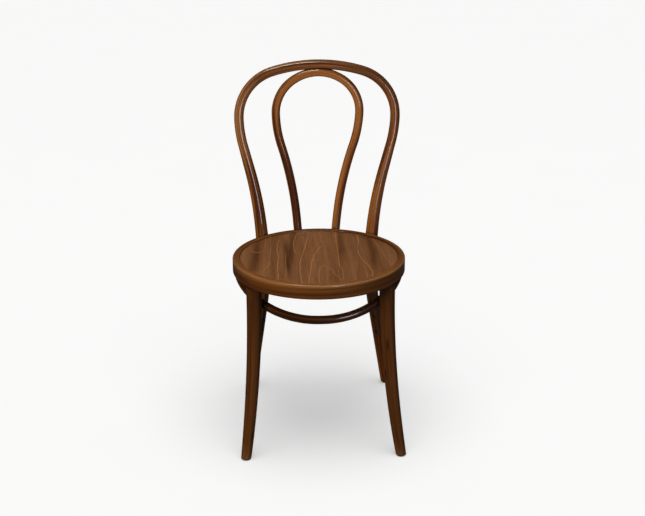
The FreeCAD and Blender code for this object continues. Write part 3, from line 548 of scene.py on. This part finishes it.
ring_profile = rounded([
    (0.165, 0.422, 0.003), (0.205, 0.422, 0.003), (0.205, 0.456, 0.0035),
    (0.1885, 0.456, 0.0015), (0.1885, 0.4455, 0), (0.165, 0.4455, 0.001),
])
ring_mesh = bpy.data.meshes.new("ring")
ring_count = len(ring_profile)
ring_verts, ring_faces, ring_grain = [], [], []
for step in range(RING_STEPS):
    turn = 2 * pi * step / RING_STEPS + pi / 2
    for place in ring_profile:
        ring_verts.append((place.x * cos(turn), place.x * sin(turn) + SEAT_Y, place.y))
for step in range(RING_STEPS):
    for i in range(ring_count):
        ring_faces.append((
            step * ring_count + i, step * ring_count + (i + 1) % ring_count,
            (step + 1) % RING_STEPS * ring_count + (i + 1) % ring_count,
            (step + 1) % RING_STEPS * ring_count + i,
        ))
        for which, ahead in ((i, 0), ((i + 1) % ring_count, 0), ((i + 1) % ring_count, 1), (i, 1)):
            place = ring_profile[which]
            ring_grain += [place.x, place.y, 2 * pi * (step + ahead) / RING_STEPS * 0.19]
ring_mesh.from_pydata(ring_verts, [], ring_faces)
ring_mesh.attributes.new("grain", "FLOAT_VECTOR", "CORNER").data.foreach_set("vector", ring_grain)
bm = bmesh.new()
bm.from_mesh(ring_mesh)
bmesh.ops.recalc_face_normals(bm, faces=bm.faces)
bm.to_mesh(ring_mesh)
bm.free()
ring_mesh.shade_smooth()
ring_mesh.set_sharp_from_angle(angle=radians(50))


def rim_wear_and_highlight(tree):
    """The rim's outer edge made paler, most of all at the front: rubbed by sitting and lifting, and a
    painted highlight along the edge.
    """
    object_place = add(tree, "ShaderNodeTexCoord").outputs["Object"]
    centred = add(tree, "ShaderNodeMapping", {
        "Vector": object_place, "Location": (0, -SEAT_Y, -0.456),
    }).outputs[0]
    axes = add(tree, "ShaderNodeSeparateXYZ", {0: centred}).outputs
    radius = calc(tree, "SQRT", calc(
        tree, "ADD", calc(tree, "POWER", axes["X"], 2.0), calc(tree, "POWER", axes["Y"], 2.0)
    ))
    # Painted highlight, with rubbing: the rim's top outer edge is made paler, strongest at the front.
    on_edge = times(tree, span(tree, radius, 0.187, 0.201, smooth=True),
                   span(tree, axes["Z"], -0.009, -0.002, smooth=True))
    at_front = span(tree, axes["Y"], 0.10, -0.15, 0.45, 1.0)
    return times(tree, on_edge, times(tree, at_front, 0.8))


ring_finish = lacquered(
    "ring_beech", wear_and_light=rim_wear_and_highlight, Shift=40.2, Knots=0.0, Streaks=1.3,
    Light=(0.215, 0.075, 0.012, 1), Deep=(0.055, 0.014, 0.002, 1),
)
ring_mesh.materials.append(ring_finish)
mark_joints(ring_mesh, ["back_bow", "inner_loop", "leg_brace", "front_leg_left",
                        "front_leg_right"], 0.006)
keep_piece("ring", ring_mesh, "bent_beech", "seat_ring")

# Seat panel: round plywood, face veneer running front to back, glued into the ring's rabbet a
# little below the rim. Its edge is eased and darkened along it: stain that settled there, and
# painted shade of the step down from the rim.
PANEL_RADIUS = 0.1882
panel_profile = [(PANEL_RADIUS - 0.0008, 0.4535), (PANEL_RADIUS - 0.00023, 0.45327),
                 (PANEL_RADIUS, 0.4527), (PANEL_RADIUS, 0.4455)]
panel_mesh = bpy.data.meshes.new("panel")
bm = bmesh.new()
panel_rings = [(PANEL_RADIUS * k / 12, 0.4535) for k in range(1, 12)] + panel_profile
panel_rings += [(PANEL_RADIUS * k / 4, 0.4455) for k in (3, 2, 1)]
top_pole = bm.verts.new((0, SEAT_Y, 0.4535))
low_pole = bm.verts.new((0, SEAT_Y, 0.4455))
PANEL_STEPS = 160
loops = []
for radius, height in panel_rings:
    loops.append([
        bm.verts.new((radius * cos(2 * pi * s / PANEL_STEPS),
                      radius * sin(2 * pi * s / PANEL_STEPS) + SEAT_Y, height))
        for s in range(PANEL_STEPS)
    ])
for s in range(PANEL_STEPS):
    after = (s + 1) % PANEL_STEPS
    bm.faces.new((top_pole, loops[0][s], loops[0][after]))
    bm.faces.new((low_pole, loops[-1][after], loops[-1][s]))
    for outer, inner in zip(loops[1:], loops[:-1]):
        bm.faces.new((inner[s], outer[s], outer[after], inner[after]))
bmesh.ops.recalc_face_normals(bm, faces=bm.faces)
bm.to_mesh(panel_mesh)
bm.free()
panel_mesh.shade_smooth()
panel_mesh.set_sharp_from_angle(angle=radians(50))

veneer = bpy.data.materials.new("panel_veneer")
veneer.use_nodes = True
sheet = veneer.node_tree
sheet.nodes.clear()
panel_place = add(sheet, "ShaderNodeMapping", {
    "Vector": add(sheet, "ShaderNodeTexCoord").outputs["Object"], "Location": (0, -SEAT_Y, 0),
}).outputs[0]
panel_axes = add(sheet, "ShaderNodeSeparateXYZ", {0: panel_place}).outputs


def veneer_noise(across, lengthwise, **settings):
    """Noise drawn out from front to back."""
    drawn = add(sheet, "ShaderNodeVectorMath", {0: panel_place, 1: (across, lengthwise, 30.0)},
                operation="MULTIPLY")
    return add(sheet, "ShaderNodeTexNoise", {
        "Vector": drawn.outputs[0], "Scale": 1.0, **settings,
    }).outputs[0]


# Growth lines: each wanders from front to back along its own curve of places (x, y), in
# millimetres from the seat's middle. Broad dark bands are the same thing, wide and soft.
line_tree, line_in, line_out = new_group("growth_line", "ShaderNodeTree", [
    ("Across", "NodeSocketFloat"),
    ("Line", "NodeSocketFloat"),
    ("Along", "NodeSocketFloat"),
    ("From", "NodeSocketFloat"),
    ("To", "NodeSocketFloat"),
    ("Half width", "NodeSocketFloat", 0.001),
    ("Fade", "NodeSocketFloat", 0.01),
], [("Mask", "NodeSocketFloat")])
line_off = calc(line_tree, "ABSOLUTE", calc(line_tree, "SUBTRACT", line_in["Across"], line_in["Line"]))
line_core = span(line_tree, line_off, 0.0, line_in["Half width"], 1.0, 0.0, smooth=True)
fade_in = calc(line_tree, "SUBTRACT", line_in["From"], line_in["Fade"])
fade_out = calc(line_tree, "ADD", line_in["To"], line_in["Fade"])
line_start = span(line_tree, line_in["Along"], fade_in, line_in["From"], smooth=True)
line_stop = span(line_tree, line_in["Along"], line_in["To"], fade_out, 1.0, 0.0, smooth=True)
line_mask = times(line_tree, line_core, times(line_tree, line_start, line_stop))
line_tree.links.new(line_mask, line_out.inputs["Mask"])
HALF_SPAN = 0.2
WANDER = 0.006
wander_x = calc(sheet, "SUBTRACT", veneer_noise(60.0, 45.0, Detail=2.0), 0.5)
wander_y = calc(sheet, "SUBTRACT", veneer_noise(50.0, 55.0, Detail=2.0), 0.5)
line_x = calc(sheet, "ADD", panel_axes["X"], times(sheet, wander_x, WANDER))
line_y = calc(sheet, "ADD", panel_axes["Y"], times(sheet, wander_y, WANDER))


def growth_line(places, half_width=0.0011, fade=0.012, sideways=False):
    """The mask of one growth line. A sideways one gives y for each x, as over an arch."""
    steps, run = (line_x, line_y) if sideways else (line_y, line_x)
    order = sorted((x, y) if sideways else (y, x) for x, y in places)
    curve = add(sheet, "ShaderNodeFloatCurve", {1: span(sheet, steps, -HALF_SPAN, HALF_SPAN)})
    points = curve.mapping.curves[0].points
    for _ in order[2:]:
        points.new(0.5, 0.5)
    for point, pair in zip(points, order):
        point.location = [(value / 1000 + HALF_SPAN) / (2 * HALF_SPAN) for value in pair]
    curve.mapping.update()
    drawn = add(sheet, "ShaderNodeGroup", node_tree=line_tree)
    line_at = span(sheet, curve.outputs[0], 0.0, 1.0, -HALF_SPAN, HALF_SPAN)
    values = {"Across": run, "Line": line_at, "Along": steps, "From": order[0][0] / 1000,
              "To": order[-1][0] / 1000, "Half width": half_width, "Fade": fade}
    for key, value in values.items():
        if isinstance(value, bpy.types.NodeSocket):
            sheet.links.new(value, drawn.inputs[key])
        else:
            drawn.inputs[key].default_value = value
    return drawn.outputs[0]


def gathered(masks):
    total = masks[0]
    for mask in masks[1:]:
        total = calc(sheet, "MAXIMUM", total, mask)
    return total


bright_lines = gathered([
    growth_line([(-97, -165), (-99, -80), (-97, -16), (-98, 55), (-94, 120)]),
    growth_line([(-44, -185), (-47, -83), (-44, -27), (-30, 72), (-18, 185)]),
    growth_line([(-29, -185), (-22, -84), (-13, -13), (-1, 45), (11, 72)]),
    growth_line([(46, -65), (47, 59), (49, 185)]),
    growth_line([(116, -150), (117, -92), (100, -19), (97, 65), (102, 100), (100, 160)]),
    growth_line([(-43, 185), (-56, 118), (-56, 31)]),
    growth_line([(-4, -185), (-4, -116), (1, -80)]),
])
faint_lines = gathered([
    growth_line([(1, -80), (5, -69), (10, -67), (16, -72)], 0.003, 0.002, sideways=True),
    growth_line([(47, -166), (34, -130), (23, -83), (14, -70)], fade=0.004),
    growth_line([(46, -65), (50, -142), (47, -166)]),
    growth_line([(-163, 54), (-151, 36), (-136, 40), (-128, 80)], 0.003, 0.004, sideways=True),
    growth_line([(-126, 150), (-128, 80)]),
    growth_line([(-115, 64), (-116, 1), (-119, -59)]),
    growth_line([(-130, -86), (-119, -59)], 0.003, 0.006, sideways=True),
    growth_line([(138, 120), (154, 19), (164, -71)]),
    growth_line([(-78, 20), (-80, -140)]),
    growth_line([(8, 178), (10, 100)]),
])
dark_bands = times(sheet, gathered([
    growth_line([(-139, 150), (-150, 3), (-154, -60)], 0.022, 0.10),
    growth_line([(-50, 190), (-62, 83), (-66, 10)], 0.016, 0.12),
    growth_line([(-76, 60), (-74, -60)], 0.012, 0.10),
    growth_line([(57, 185), (56, 60)], 0.014, 0.13),
    growth_line([(124, 150), (131, 46), (129, -20)], 0.018, 0.11),
]), span(sheet, veneer_noise(45.0, 3.0, Detail=2.0), 0.25, 0.6, 0.55, 1.0))
broad = span(sheet, veneer_noise(16.0, 1.6, Detail=2.0), 0.32, 0.68)
streak = span(sheet, veneer_noise(230.0, 5.0, Detail=4.0, Roughness=0.6), 0.28, 0.72)
hair = span(sheet, veneer_noise(900.0, 60.0, Detail=3.0, Roughness=0.6), 0.3, 0.7)
face = calc(sheet, "ADD", times(sheet, broad, 0.34), times(sheet, streak, 0.36))
face = calc(sheet, "ADD", face, times(sheet, hair, 0.30))
veneer_colour = colour_mix(
    sheet, span(sheet, face, 0.15, 0.85), (0.135, 0.052, 0.015, 1), (0.315, 0.138, 0.054, 1)
)
veneer_colour = tinted(sheet, veneer_colour, dark_bands, 0.78, (0.050, 0.014, 0.003))
veneer_colour = tinted(sheet, veneer_colour, bright_lines, 0.62, (0.72, 0.30, 0.095))
veneer_colour = tinted(sheet, veneer_colour, faint_lines, 0.48, (0.66, 0.27, 0.085))
dashes = span(sheet, veneer_noise(1500.0, 160.0, Detail=2.0), 0.58, 0.72)
veneer_colour = tinted(sheet, veneer_colour, dashes, 0.45, (0.030, 0.011, 0.004))
panel_radius = calc(sheet, "SQRT", calc(
    sheet, "ADD", calc(sheet, "POWER", panel_axes["X"], 2.0), calc(sheet, "POWER", panel_axes["Y"], 2.0)
))
# Painted shade, with stain: a thin darker line round the panel's edge, below the rim's step.
edge_stain_and_shade = span(sheet, panel_radius, 0.1866, 0.1882, smooth=True)
veneer_colour = tinted(sheet, veneer_colour, edge_stain_and_shade, 0.5, (0.020, 0.008, 0.003))
veneer_relief = calc(sheet, "SUBTRACT", times(sheet, hair, 0.5), times(sheet, dashes, 0.6))
veneer_bump = add(sheet, "ShaderNodeBump", {
    "Height": veneer_relief, "Strength": 0.3, "Distance": 0.0003,
})
veneer_shader = add(sheet, "ShaderNodeBsdfPrincipled", {
    "Base Color": veneer_colour, "Roughness": span(sheet, streak, 0.0, 1.0, 0.36, 0.46),
    "Normal": veneer_bump.outputs[0], "Coat Weight": 0.3, "Coat Roughness": 0.25, "IOR": 1.48,
})
sheet.links.new(veneer_shader.outputs[0], add(sheet, "ShaderNodeOutputMaterial").inputs[0])
panel_mesh.materials.append(veneer)
keep_piece("panel", panel_mesh, "seat_veneer", "seat_panel")

# Wood screws: round-head, slotted and blackened steel. They fix the loop to the bow and the
# ring, and the brace to the ring, the posts and the front legs.


def darkened_steel(name, rub):
    """Blackened steel whose high places have rubbed brighter, with a little rust."""
    finish = bpy.data.materials.new(name)
    finish.use_nodes = True
    tree = finish.node_tree
    tree.nodes.clear()
    place = add(tree, "ShaderNodeTexCoord").outputs["Object"]
    blotch = noise(tree, place, 700.0, 4.0)
    scratch = noise(tree, place, 2600.0, 2.0)
    colour = colour_mix(tree, span(tree, blotch, 0.35, 0.7), (0.028, 0.024, 0.022, 1), rub)
    colour = colour_mix(tree, span(tree, scratch, 0.62, 0.75, 0.0, 0.4), colour, (0.10, 0.045, 0.02, 1))
    raised = add(tree, "ShaderNodeBump", {"Height": scratch, "Strength": 0.2, "Distance": 0.0001})
    shader = add(tree, "ShaderNodeBsdfPrincipled", {
        "Base Color": colour, "Metallic": span(tree, blotch, 0.3, 0.7, 0.75, 0.95),
        "Roughness": span(tree, scratch, 0.3, 0.7, 0.38, 0.58), "Normal": raised.outputs[0],
    })
    tree.links.new(shader.outputs[0], add(tree, "ShaderNodeOutputMaterial").inputs[0])
    return finish


def around(radius, steps):
    """Places (x, y) evenly round a circle."""
    return [(radius * cos(2 * pi * s / steps), radius * sin(2 * pi * s / steps)) for s in range(steps)]


def turned(name, profile, steps):
    """A closed turned shape from its half profile (radius, height), listed from the top down."""
    bm = bmesh.new()
    rows = []
    for radius, height in profile:
        if radius == 0:
            rows.append([bm.verts.new((0, 0, height))])
        else:
            rows.append([bm.verts.new((x, y, height)) for x, y in around(radius, steps)])
    for upper, lower in zip(rows, rows[1:]):
        for s in range(steps):
            t = (s + 1) % steps
            if len(upper) == 1:
                bm.faces.new((upper[0], lower[s], lower[t]))
            elif len(lower) == 1:
                bm.faces.new((upper[s], lower[0], upper[t]))
            else:
                bm.faces.new((upper[s], lower[s], lower[t], upper[t]))
    bmesh.ops.recalc_face_normals(bm, faces=bm.faces)
    mesh = bpy.data.meshes.new(name)
    bm.to_mesh(mesh)
    bm.free()
    return mesh


def dome(radius, height, steps=6):
    """The half profile of a round head, from its crown to its edge."""
    turns = [pi / 2 * k / steps for k in range(steps + 1)]
    return [(radius * sin(turn), height * cos(turn)) for turn in turns]


# One fastener, pointing down, is set at every place and turned to drive along it.
driven_tree, driven_in, driven_out = new_group("driven_fasteners", "GeometryNodeTree", [
    ("Places", "NodeSocketGeometry"),
    ("Pattern", "NodeSocketObject"),
    ("Finish", "NodeSocketMaterial"),
], [("Fasteners", "NodeSocketGeometry")])
as_points = add(driven_tree, "GeometryNodeMeshToPoints", {"Mesh": driven_in["Places"]})
pattern = add(driven_tree, "GeometryNodeObjectInfo", {"Object": driven_in["Pattern"]})
turn_to = add(driven_tree, "FunctionNodeAxesToRotation", {
    "Primary Axis": named(driven_tree, "out", "FLOAT_VECTOR"),
    "Secondary Axis": named(driven_tree, "slot", "FLOAT_VECTOR"),
}, primary_axis="Z", secondary_axis="X")
driven = add(driven_tree, "GeometryNodeInstanceOnPoints", {
    "Points": as_points.outputs[0], "Instance": pattern.outputs["Geometry"],
    "Rotation": turn_to.outputs[0],
})
driven_real = add(driven_tree, "GeometryNodeRealizeInstances", {"Geometry": driven.outputs[0]})
driven_finish = add(driven_tree, "GeometryNodeSetMaterial", {
    "Geometry": driven_real.outputs[0], "Material": driven_in["Finish"],
})
driven_tree.links.new(driven_finish.outputs[0], driven_out.inputs[0])


def drive(name, pattern_mesh, places, finish, slot, replaced):
    """Set like fasteners at places (point, driving direction, turn of the slot)."""
    pattern_object = bpy.data.objects.new(f"{name}_pattern", pattern_mesh)
    start = bpy.data.meshes.new(f"{name}_places")
    start.from_pydata([p[0] for p in places], [], [])
    out, slots = [], []
    for point, direction, turn in places:
        axis = -Vector(direction).normalized()
        level = axis.cross(Vector((0, 0, 1))) if abs(axis.z) < 0.9 else Vector((1, 0, 0))
        out.extend(axis)
        slots.extend(Matrix.Rotation(radians(turn), 3, axis) @ level.normalized())
    start.attributes.new("out", "FLOAT_VECTOR", "POINT").data.foreach_set("vector", out)
    start.attributes.new("slot", "FLOAT_VECTOR", "POINT").data.foreach_set("vector", slots)
    mesh = grow(name, driven_tree, start, pattern=pattern_object, finish=finish)
    bpy.data.objects.remove(pattern_object)
    keep_piece(name, mesh, slot, replaced)


HEAD_RADIUS = 0.0043
HEAD_HEIGHT = 0.0026
SHANK_RADIUS = 0.00225
POINT_LENGTH = 0.0045
POINT_RADIUS = 0.0009
SLOT = (0.012, 0.0011, 0.0022, 1)


def screw_pattern(length):
    """A slotted round-head screw, head above the origin and shank below."""
    shank_and_point = [
        (SHANK_RADIUS, 0), (SHANK_RADIUS, POINT_LENGTH - length), (POINT_RADIUS, -length), (0, -length),
    ]
    mesh = turned("screw", dome(HEAD_RADIUS, HEAD_HEIGHT) + shank_and_point, 24)
    head = bpy.data.objects.new("screw_blank", mesh)
    cutter_mesh = bpy.data.meshes.new("slot_cutter")
    cutter = bmesh.new()
    bmesh.ops.create_cube(
        cutter, size=1.0, matrix=Matrix.Translation((0, 0, HEAD_HEIGHT)) @ Matrix.Diagonal(SLOT)
    )
    cutter.to_mesh(cutter_mesh)
    cutter.free()
    tool = bpy.data.objects.new("slot_cutter", cutter_mesh)
    for part in (head, tool):
        bpy.context.scene.collection.objects.link(part)
    slot_cut = head.modifiers.new("slot", "BOOLEAN")
    slot_cut.object = tool
    slot_cut.solver = "EXACT"
    graph = bpy.context.evaluated_depsgraph_get()
    cut = bpy.data.meshes.new_from_object(head.evaluated_get(graph))
    bpy.data.objects.remove(head)
    bpy.data.objects.remove(tool)
    cut.shade_smooth()
    cut.set_sharp_from_angle(angle=radians(35))
    return cut


screw_steel = darkened_steel("screw_steel", (0.10, 0.085, 0.075, 1))
for screw_name, node, shank, screw_places in (
    ("loop_foot_fixings", "loop_foot_screws", 0.037, [
        ((-0.04463, 0.18555, 0.43200), (0.2019, -0.9794, 0), 20),
        ((0.05172, 0.18548, 0.43200), (-0.2324, -0.9726, 0), -35),
    ]),
    ("loop_crown_fixings", "loop_crown_screws", 0.033, [
        ((-0.00645, 0.21474, 0.83713), (-0.0430, 0.1513, 0.9876), 50),
        ((0.02875, 0.21474, 0.83696), (0.0555, 0.1503, 0.9871), 10),
    ]),
    ("brace_front_fixings", "brace_front_screws", 0.036, [
        ((0.13438, -0.10777, 0.37124), (0.5574, -0.8302, 0), 15),
        ((-0.13438, -0.10777, 0.37124), (-0.5574, -0.8302, 0), 70),
    ]),
    ("brace_rear_fixings", "brace_rear_screws", 0.034, [
        ((-0.14539, 0.15823, 0.17541), (-0.4067, 0.8964, 0.1762), 40),
        ((0.15680, 0.15823, 0.17541), (0.4067, 0.8964, 0.1762), -20),
        ((-0.13919, 0.14899, 0.22241), (-0.4067, 0.8964, 0.1762), 5),
        ((0.14938, 0.14899, 0.22241), (0.4067, 0.8964, 0.1762), 62),
    ]),
    ("brace_ring_fixings", "brace_ring_screws", 0.038, [
        ((0.18671, 0.02475, 0.40400), (0, 0, 1), 30),
        ((-0.18671, 0.02475, 0.40400), (0, 0, 1), -25),
    ]),
):
    drive(screw_name, screw_pattern(shank), screw_places, screw_steel, "dark_steel", node)

# Post bolts: a round-headed bolt through each post and the ring, with a washer and a nut on
# the ring's inner wall. The head is let a little into the post.
bolt_steel = darkened_steel("bolt_steel", (0.13, 0.11, 0.095, 1))
post_places = [
    ((-0.14368, 0.15364, 0.43200), (0.6141, -0.7892, 0)),
    ((0.14915, 0.15348, 0.43200), (-0.6287, -0.7777, 0)),
]
bolt = turned("bolt", dome(0.0075, 0.0036) + [
    (0.003, 0), (0.003, -0.0794), (0.0022, -0.0804), (0, -0.0804),
], 32)
bolt.shade_smooth()
bolt.set_sharp_from_angle(angle=radians(35))
drive("bolts", bolt, [(*place, 0) for place in post_places], bolt_steel, "dark_steel", "post_bolts")


def on_ring_wall(radius):
    """The bolts' places on the ring's inside, at a distance from the seat's centre."""
    places = []
    for (x, y, z), (dx, dy, _) in post_places:
        along_bolt = Vector((dx, dy, 0))
        places.append((Vector((0, SEAT_Y, z)) - along_bolt * radius, -along_bolt, 0))
    return places


def pierced(name, outline, bore, low, high, ease):
    """A flat piece with a round hole: its outline is a list of (x, y) places."""
    bm = bmesh.new()
    count = len(outline)
    size_out = max(hypot(x, y) for x, y in outline)
    rows = []
    eased = 1 - ease / size_out
    for scale, z in ((eased, low), (1, low + ease), (1, high - ease), (eased, high)):
        rows.append([bm.verts.new((x * scale, y * scale, z)) for x, y in outline])
    for z in (high, low):
        rows.append([
            bm.verts.new((bore * x / hypot(x, y), bore * y / hypot(x, y), z)) for x, y in outline
        ])
    for one, other in zip(rows, rows[1:] + rows[:1]):
        for s in range(count):
            bm.faces.new((one[s], one[(s + 1) % count], other[(s + 1) % count], other[s]))
    bmesh.ops.recalc_face_normals(bm, faces=bm.faces)
    mesh = bpy.data.meshes.new(name)
    bm.to_mesh(mesh)
    bm.free()
    mesh.shade_smooth()
    mesh.set_sharp_from_angle(angle=radians(30))
    return mesh


BORE_RADIUS = 0.0031
WASHER_RADIUS = 0.008
NUT_HALF_WIDTH = 0.005
washer = pierced("washer", around(WASHER_RADIUS, 36), BORE_RADIUS, 0, 0.0014, 0.0002)
drive("washers", washer, on_ring_wall(0.16481), bolt_steel, "dark_steel", "post_bolt_washers")
nut_outline = []
for s in range(36):
    turn = 2 * pi * s / 36
    reach = NUT_HALF_WIDTH / cos((turn % (pi / 3)) - pi / 6)
    nut_outline.append((reach * cos(turn), reach * sin(turn)))
nut = pierced("nut", nut_outline, BORE_RADIUS, 0, 0.005, 0.0004)
drive("nuts", nut, on_ring_wall(0.16341), bolt_steel, "dark_steel", "post_bolt_nuts")

# Glides: a turned hard-plastic pad under each foot, held by one nail with a flat head that is
# sunk into the pad.
glide_finish = bpy.data.materials.new("glide_plastic")
glide_finish.use_nodes = True
glide_tree = glide_finish.node_tree
glide_tree.nodes.clear()
glide_place = add(glide_tree, "ShaderNodeTexCoord").outputs["Object"]
glide_cloud = noise(glide_tree, glide_place, 260.0, 3.0)
glide_scuff = noise(glide_tree, glide_place, 1800.0, 2.0)
glide_height = add(glide_tree, "ShaderNodeSeparateXYZ", {0: glide_place}).outputs["Z"]
glide_dust = times(glide_tree, span(glide_tree, glide_height, 0.0022, 0.0004),
                   span(glide_tree, glide_cloud, 0.3, 0.7))
glide_colour = colour_mix(glide_tree, glide_dust, (0.018, 0.014, 0.012, 1), (0.11, 0.10, 0.09, 1))
glide_bump = add(glide_tree, "ShaderNodeBump", {
    "Height": glide_scuff, "Strength": 0.25, "Distance": 0.0001,
})
glide_shader = add(glide_tree, "ShaderNodeBsdfPrincipled", {
    "Base Color": glide_colour, "Roughness": span(glide_tree, glide_scuff, 0.3, 0.7, 0.42, 0.62),
    "Normal": glide_bump.outputs[0],
})
glide_tree.links.new(glide_shader.outputs[0], add(glide_tree, "ShaderNodeOutputMaterial").inputs[0])
feet = {
    "glide_front_left": (-0.18144, -0.18504), "glide_front_right": (0.18744, -0.18504),
    "glide_rear_left": (-0.17255, 0.22282), "glide_rear_right": (0.18846, 0.22282),
}
glide = turned("glide", [
    (0.0015, 0.0035), (0.0098, 0.0035), (0.0105, 0.0030), (0.0105, 0.0012), (0.01015, 0.00035),
    (0.0093, 0), (0.0036, 0), (0.00335, 0.0002), (0.00335, 0.0018), (0.0015, 0.0018), (0.0015, 0.0035),
], 48)
bm = bmesh.new()
bm.from_mesh(glide)
bmesh.ops.remove_doubles(bm, verts=bm.verts, dist=1e-6)
bmesh.ops.recalc_face_normals(bm, faces=bm.faces)
bm.to_mesh(glide)
bm.free()
glide.shade_smooth()
glide.set_sharp_from_angle(angle=radians(40))
for node, (x, y) in feet.items():
    drive(f"{node}_pad", glide.copy(), [((x, y, 0), (0, 0, -1), 0)], glide_finish, "glide_plastic", node)
nail = turned("nail", dome(0.00325, 0.0012, 4) + [
    (0.0014, 0), (0.0014, -0.0152), (0.0004, -0.018), (0, -0.018),
], 20)
nail.shade_smooth()
nail.set_sharp_from_angle(angle=radians(35))
drive("nails", nail, [((x, y, 0.0018), (0, 0, 1), 0) for x, y in feet.values()], screw_steel,
      "dark_steel", "glide_nails")

# The studio: a plain pale floor, a warm soft light from the upper left, a cooler one from the
# right, and the camera where the photograph was taken from.
floor_mesh = bpy.data.meshes.new("floor")
floor_mesh.from_pydata([(-14, -8, 0), (14, -8, 0), (14, 24, 0), (-14, 24, 0)], [], [(0, 1, 2, 3)])
floor = bpy.data.objects.new("floor", floor_mesh)
bpy.context.scene.collection.objects.link(floor)
floor_finish = bpy.data.materials.new("floor_paint")
floor_finish.use_nodes = True
floor_tree = floor_finish.node_tree
floor_tree.nodes.clear()
floor_noise = add(floor_tree, "ShaderNodeTexNoise", {
    "Vector": add(floor_tree, "ShaderNodeTexCoord").outputs["Object"], "Scale": 3.0, "Detail": 3.0,
}).outputs[0]
floor_rays = add(floor_tree, "ShaderNodeLightPath").outputs
floor_pale = colour_mix(floor_tree, floor_noise, (0.87, 0.87, 0.87, 1), (0.89, 0.89, 0.89, 1))
floor_dim = colour_mix(
    floor_tree, floor_rays["Is Glossy Ray"], (0.30, 0.29, 0.27, 1), (0.04, 0.04, 0.04, 1)
)
floor_shader = add(floor_tree, "ShaderNodeBsdfPrincipled", {
    "Base Color": colour_mix(floor_tree, floor_rays["Is Camera Ray"], floor_dim, floor_pale),
    "Roughness": 0.8, "Specular IOR Level": 0.1, "Emission Color": (1.0, 0.998, 0.995, 1),
    "Emission Strength": times(floor_tree, floor_rays["Is Camera Ray"], 0.36),
})
floor_tree.links.new(floor_shader.outputs[0], add(floor_tree, "ShaderNodeOutputMaterial").inputs[0])
floor_mesh.materials.append(floor_finish)


all_pieces = [piece.name for piece in bpy.context.scene.collection.objects if piece is not floor]


def soft_light(name, place, aim, size, watts, colour, shine, pieces=all_pieces):
    """A softbox that faces a point on the chair and never lights the floor.

    shine says that it only shines in the lacquer. Otherwise it only lights the colour below.
    """
    lit = bpy.data.collections.new(f"{name}_lit")
    for piece in pieces:
        lit.objects.link(bpy.data.objects[piece])
    data = bpy.data.lights.new(name, "AREA")
    data.shape = "RECTANGLE"
    data.size, data.size_y = size
    data.energy, data.color = watts, colour
    light = bpy.data.objects.new(name, data)
    light.location = place
    light.light_linking.receiver_collection = lit
    light.rotation_mode = "QUATERNION"
    light.rotation_quaternion = (Vector(aim) - Vector(place)).to_track_quat("-Z", "Y")
    light.visible_diffuse, light.visible_glossy = not shine, shine
    bpy.context.scene.collection.objects.link(light)


rods = ["bow_and_rear_legs", "loop"]
soft_light("left_box", (-2.0, -2.0, 1.7), (0, 0.1, 0.6), (1.3, 1.5), 50, (1.0, 0.88, 0.74), False)
soft_light("rod_light", (-0.55, -3.0, 1.15), (0, 0.2, 0.7), (0.6, 0.9), 62, (1.0, 0.88, 0.72), False,
           rods)
soft_light("top_box", (-0.4, -0.4, 2.9), (0, 0.2, 0.85), (1.3, 0.25), 34, (1.0, 0.86, 0.66), True)
soft_light("right_window", (1.0, -2.5, 1.25), (0, 0.15, 0.65), (0.7, 1.0), 24, (0.84, 0.86, 1.0), True)
even_light = bpy.data.lights.new("even_light", "SUN")
even_light.energy, even_light.angle, even_light.color = 1.8, radians(64), (1.0, 0.99, 0.98)
even_lamp = bpy.data.objects.new("even_light", even_light)
even_lamp.visible_glossy = False
even_lamp.rotation_euler = (radians(14), 0, 0)
bpy.context.scene.collection.objects.link(even_lamp)
overhead_lit = bpy.data.collections.new("even_light_lit")
for piece in ["floor"] + [name for name in all_pieces if name not in rods]:
    overhead_lit.objects.link(bpy.data.objects[piece])
even_lamp.light_linking.receiver_collection = overhead_lit

world = bpy.data.worlds.new("studio")
world.use_nodes = True
sky = world.node_tree
sky.nodes.clear()
sky_place = add(sky, "ShaderNodeTexCoord").outputs["Generated"]
sky_height = add(sky, "ShaderNodeSeparateXYZ", {0: sky_place}).outputs["Z"]
sky_rays = add(sky, "ShaderNodeLightPath").outputs
seen = add(sky, "ShaderNodeBackground", {"Color": (0.93, 0.93, 0.93, 1), "Strength": 1.0})
lit = add(sky, "ShaderNodeBackground", {
    "Color": (0.95, 0.97, 1.0, 1), "Strength": calc(
        sky, "MULTIPLY", span(sky, sky_height, -0.1, 0.9, 0.04, 0.17),
        calc(sky, "SUBTRACT", 1.0, times(sky, sky_rays["Is Glossy Ray"], 0.9)),
    ),
})
is_seen = sky_rays["Is Camera Ray"]
sky_mix = add(sky, "ShaderNodeMixShader", {0: is_seen, 1: lit.outputs[0], 2: seen.outputs[0]})
sky.links.new(sky_mix.outputs[0], add(sky, "ShaderNodeOutputWorld").inputs[0])
bpy.context.scene.world = world

YAW, PITCH, ROLL = 0.043, 0.343, -0.005
ahead = Vector((sin(YAW) * cos(PITCH), cos(YAW) * cos(PITCH), -sin(PITCH)))
level = Vector((cos(YAW), -sin(YAW), 0))
upright = level.cross(ahead)
right = level * cos(ROLL) + upright * sin(ROLL)
up = upright * cos(ROLL) - level * sin(ROLL)
lens = bpy.data.cameras.new("camera")
lens.sensor_width = 36
lens.lens = 68.76
camera = bpy.data.objects.new("camera", lens)
camera.matrix_world = Matrix((
    (right.x, up.x, -ahead.x, -0.10996),
    (right.y, up.y, -ahead.y, -2.79273),
    (right.z, up.z, -ahead.z, 1.43566),
    (0, 0, 0, 1),
))
bpy.context.scene.collection.objects.link(camera)
bpy.context.scene.camera = camera
bpy.context.scene.view_settings.view_transform = "Standard"
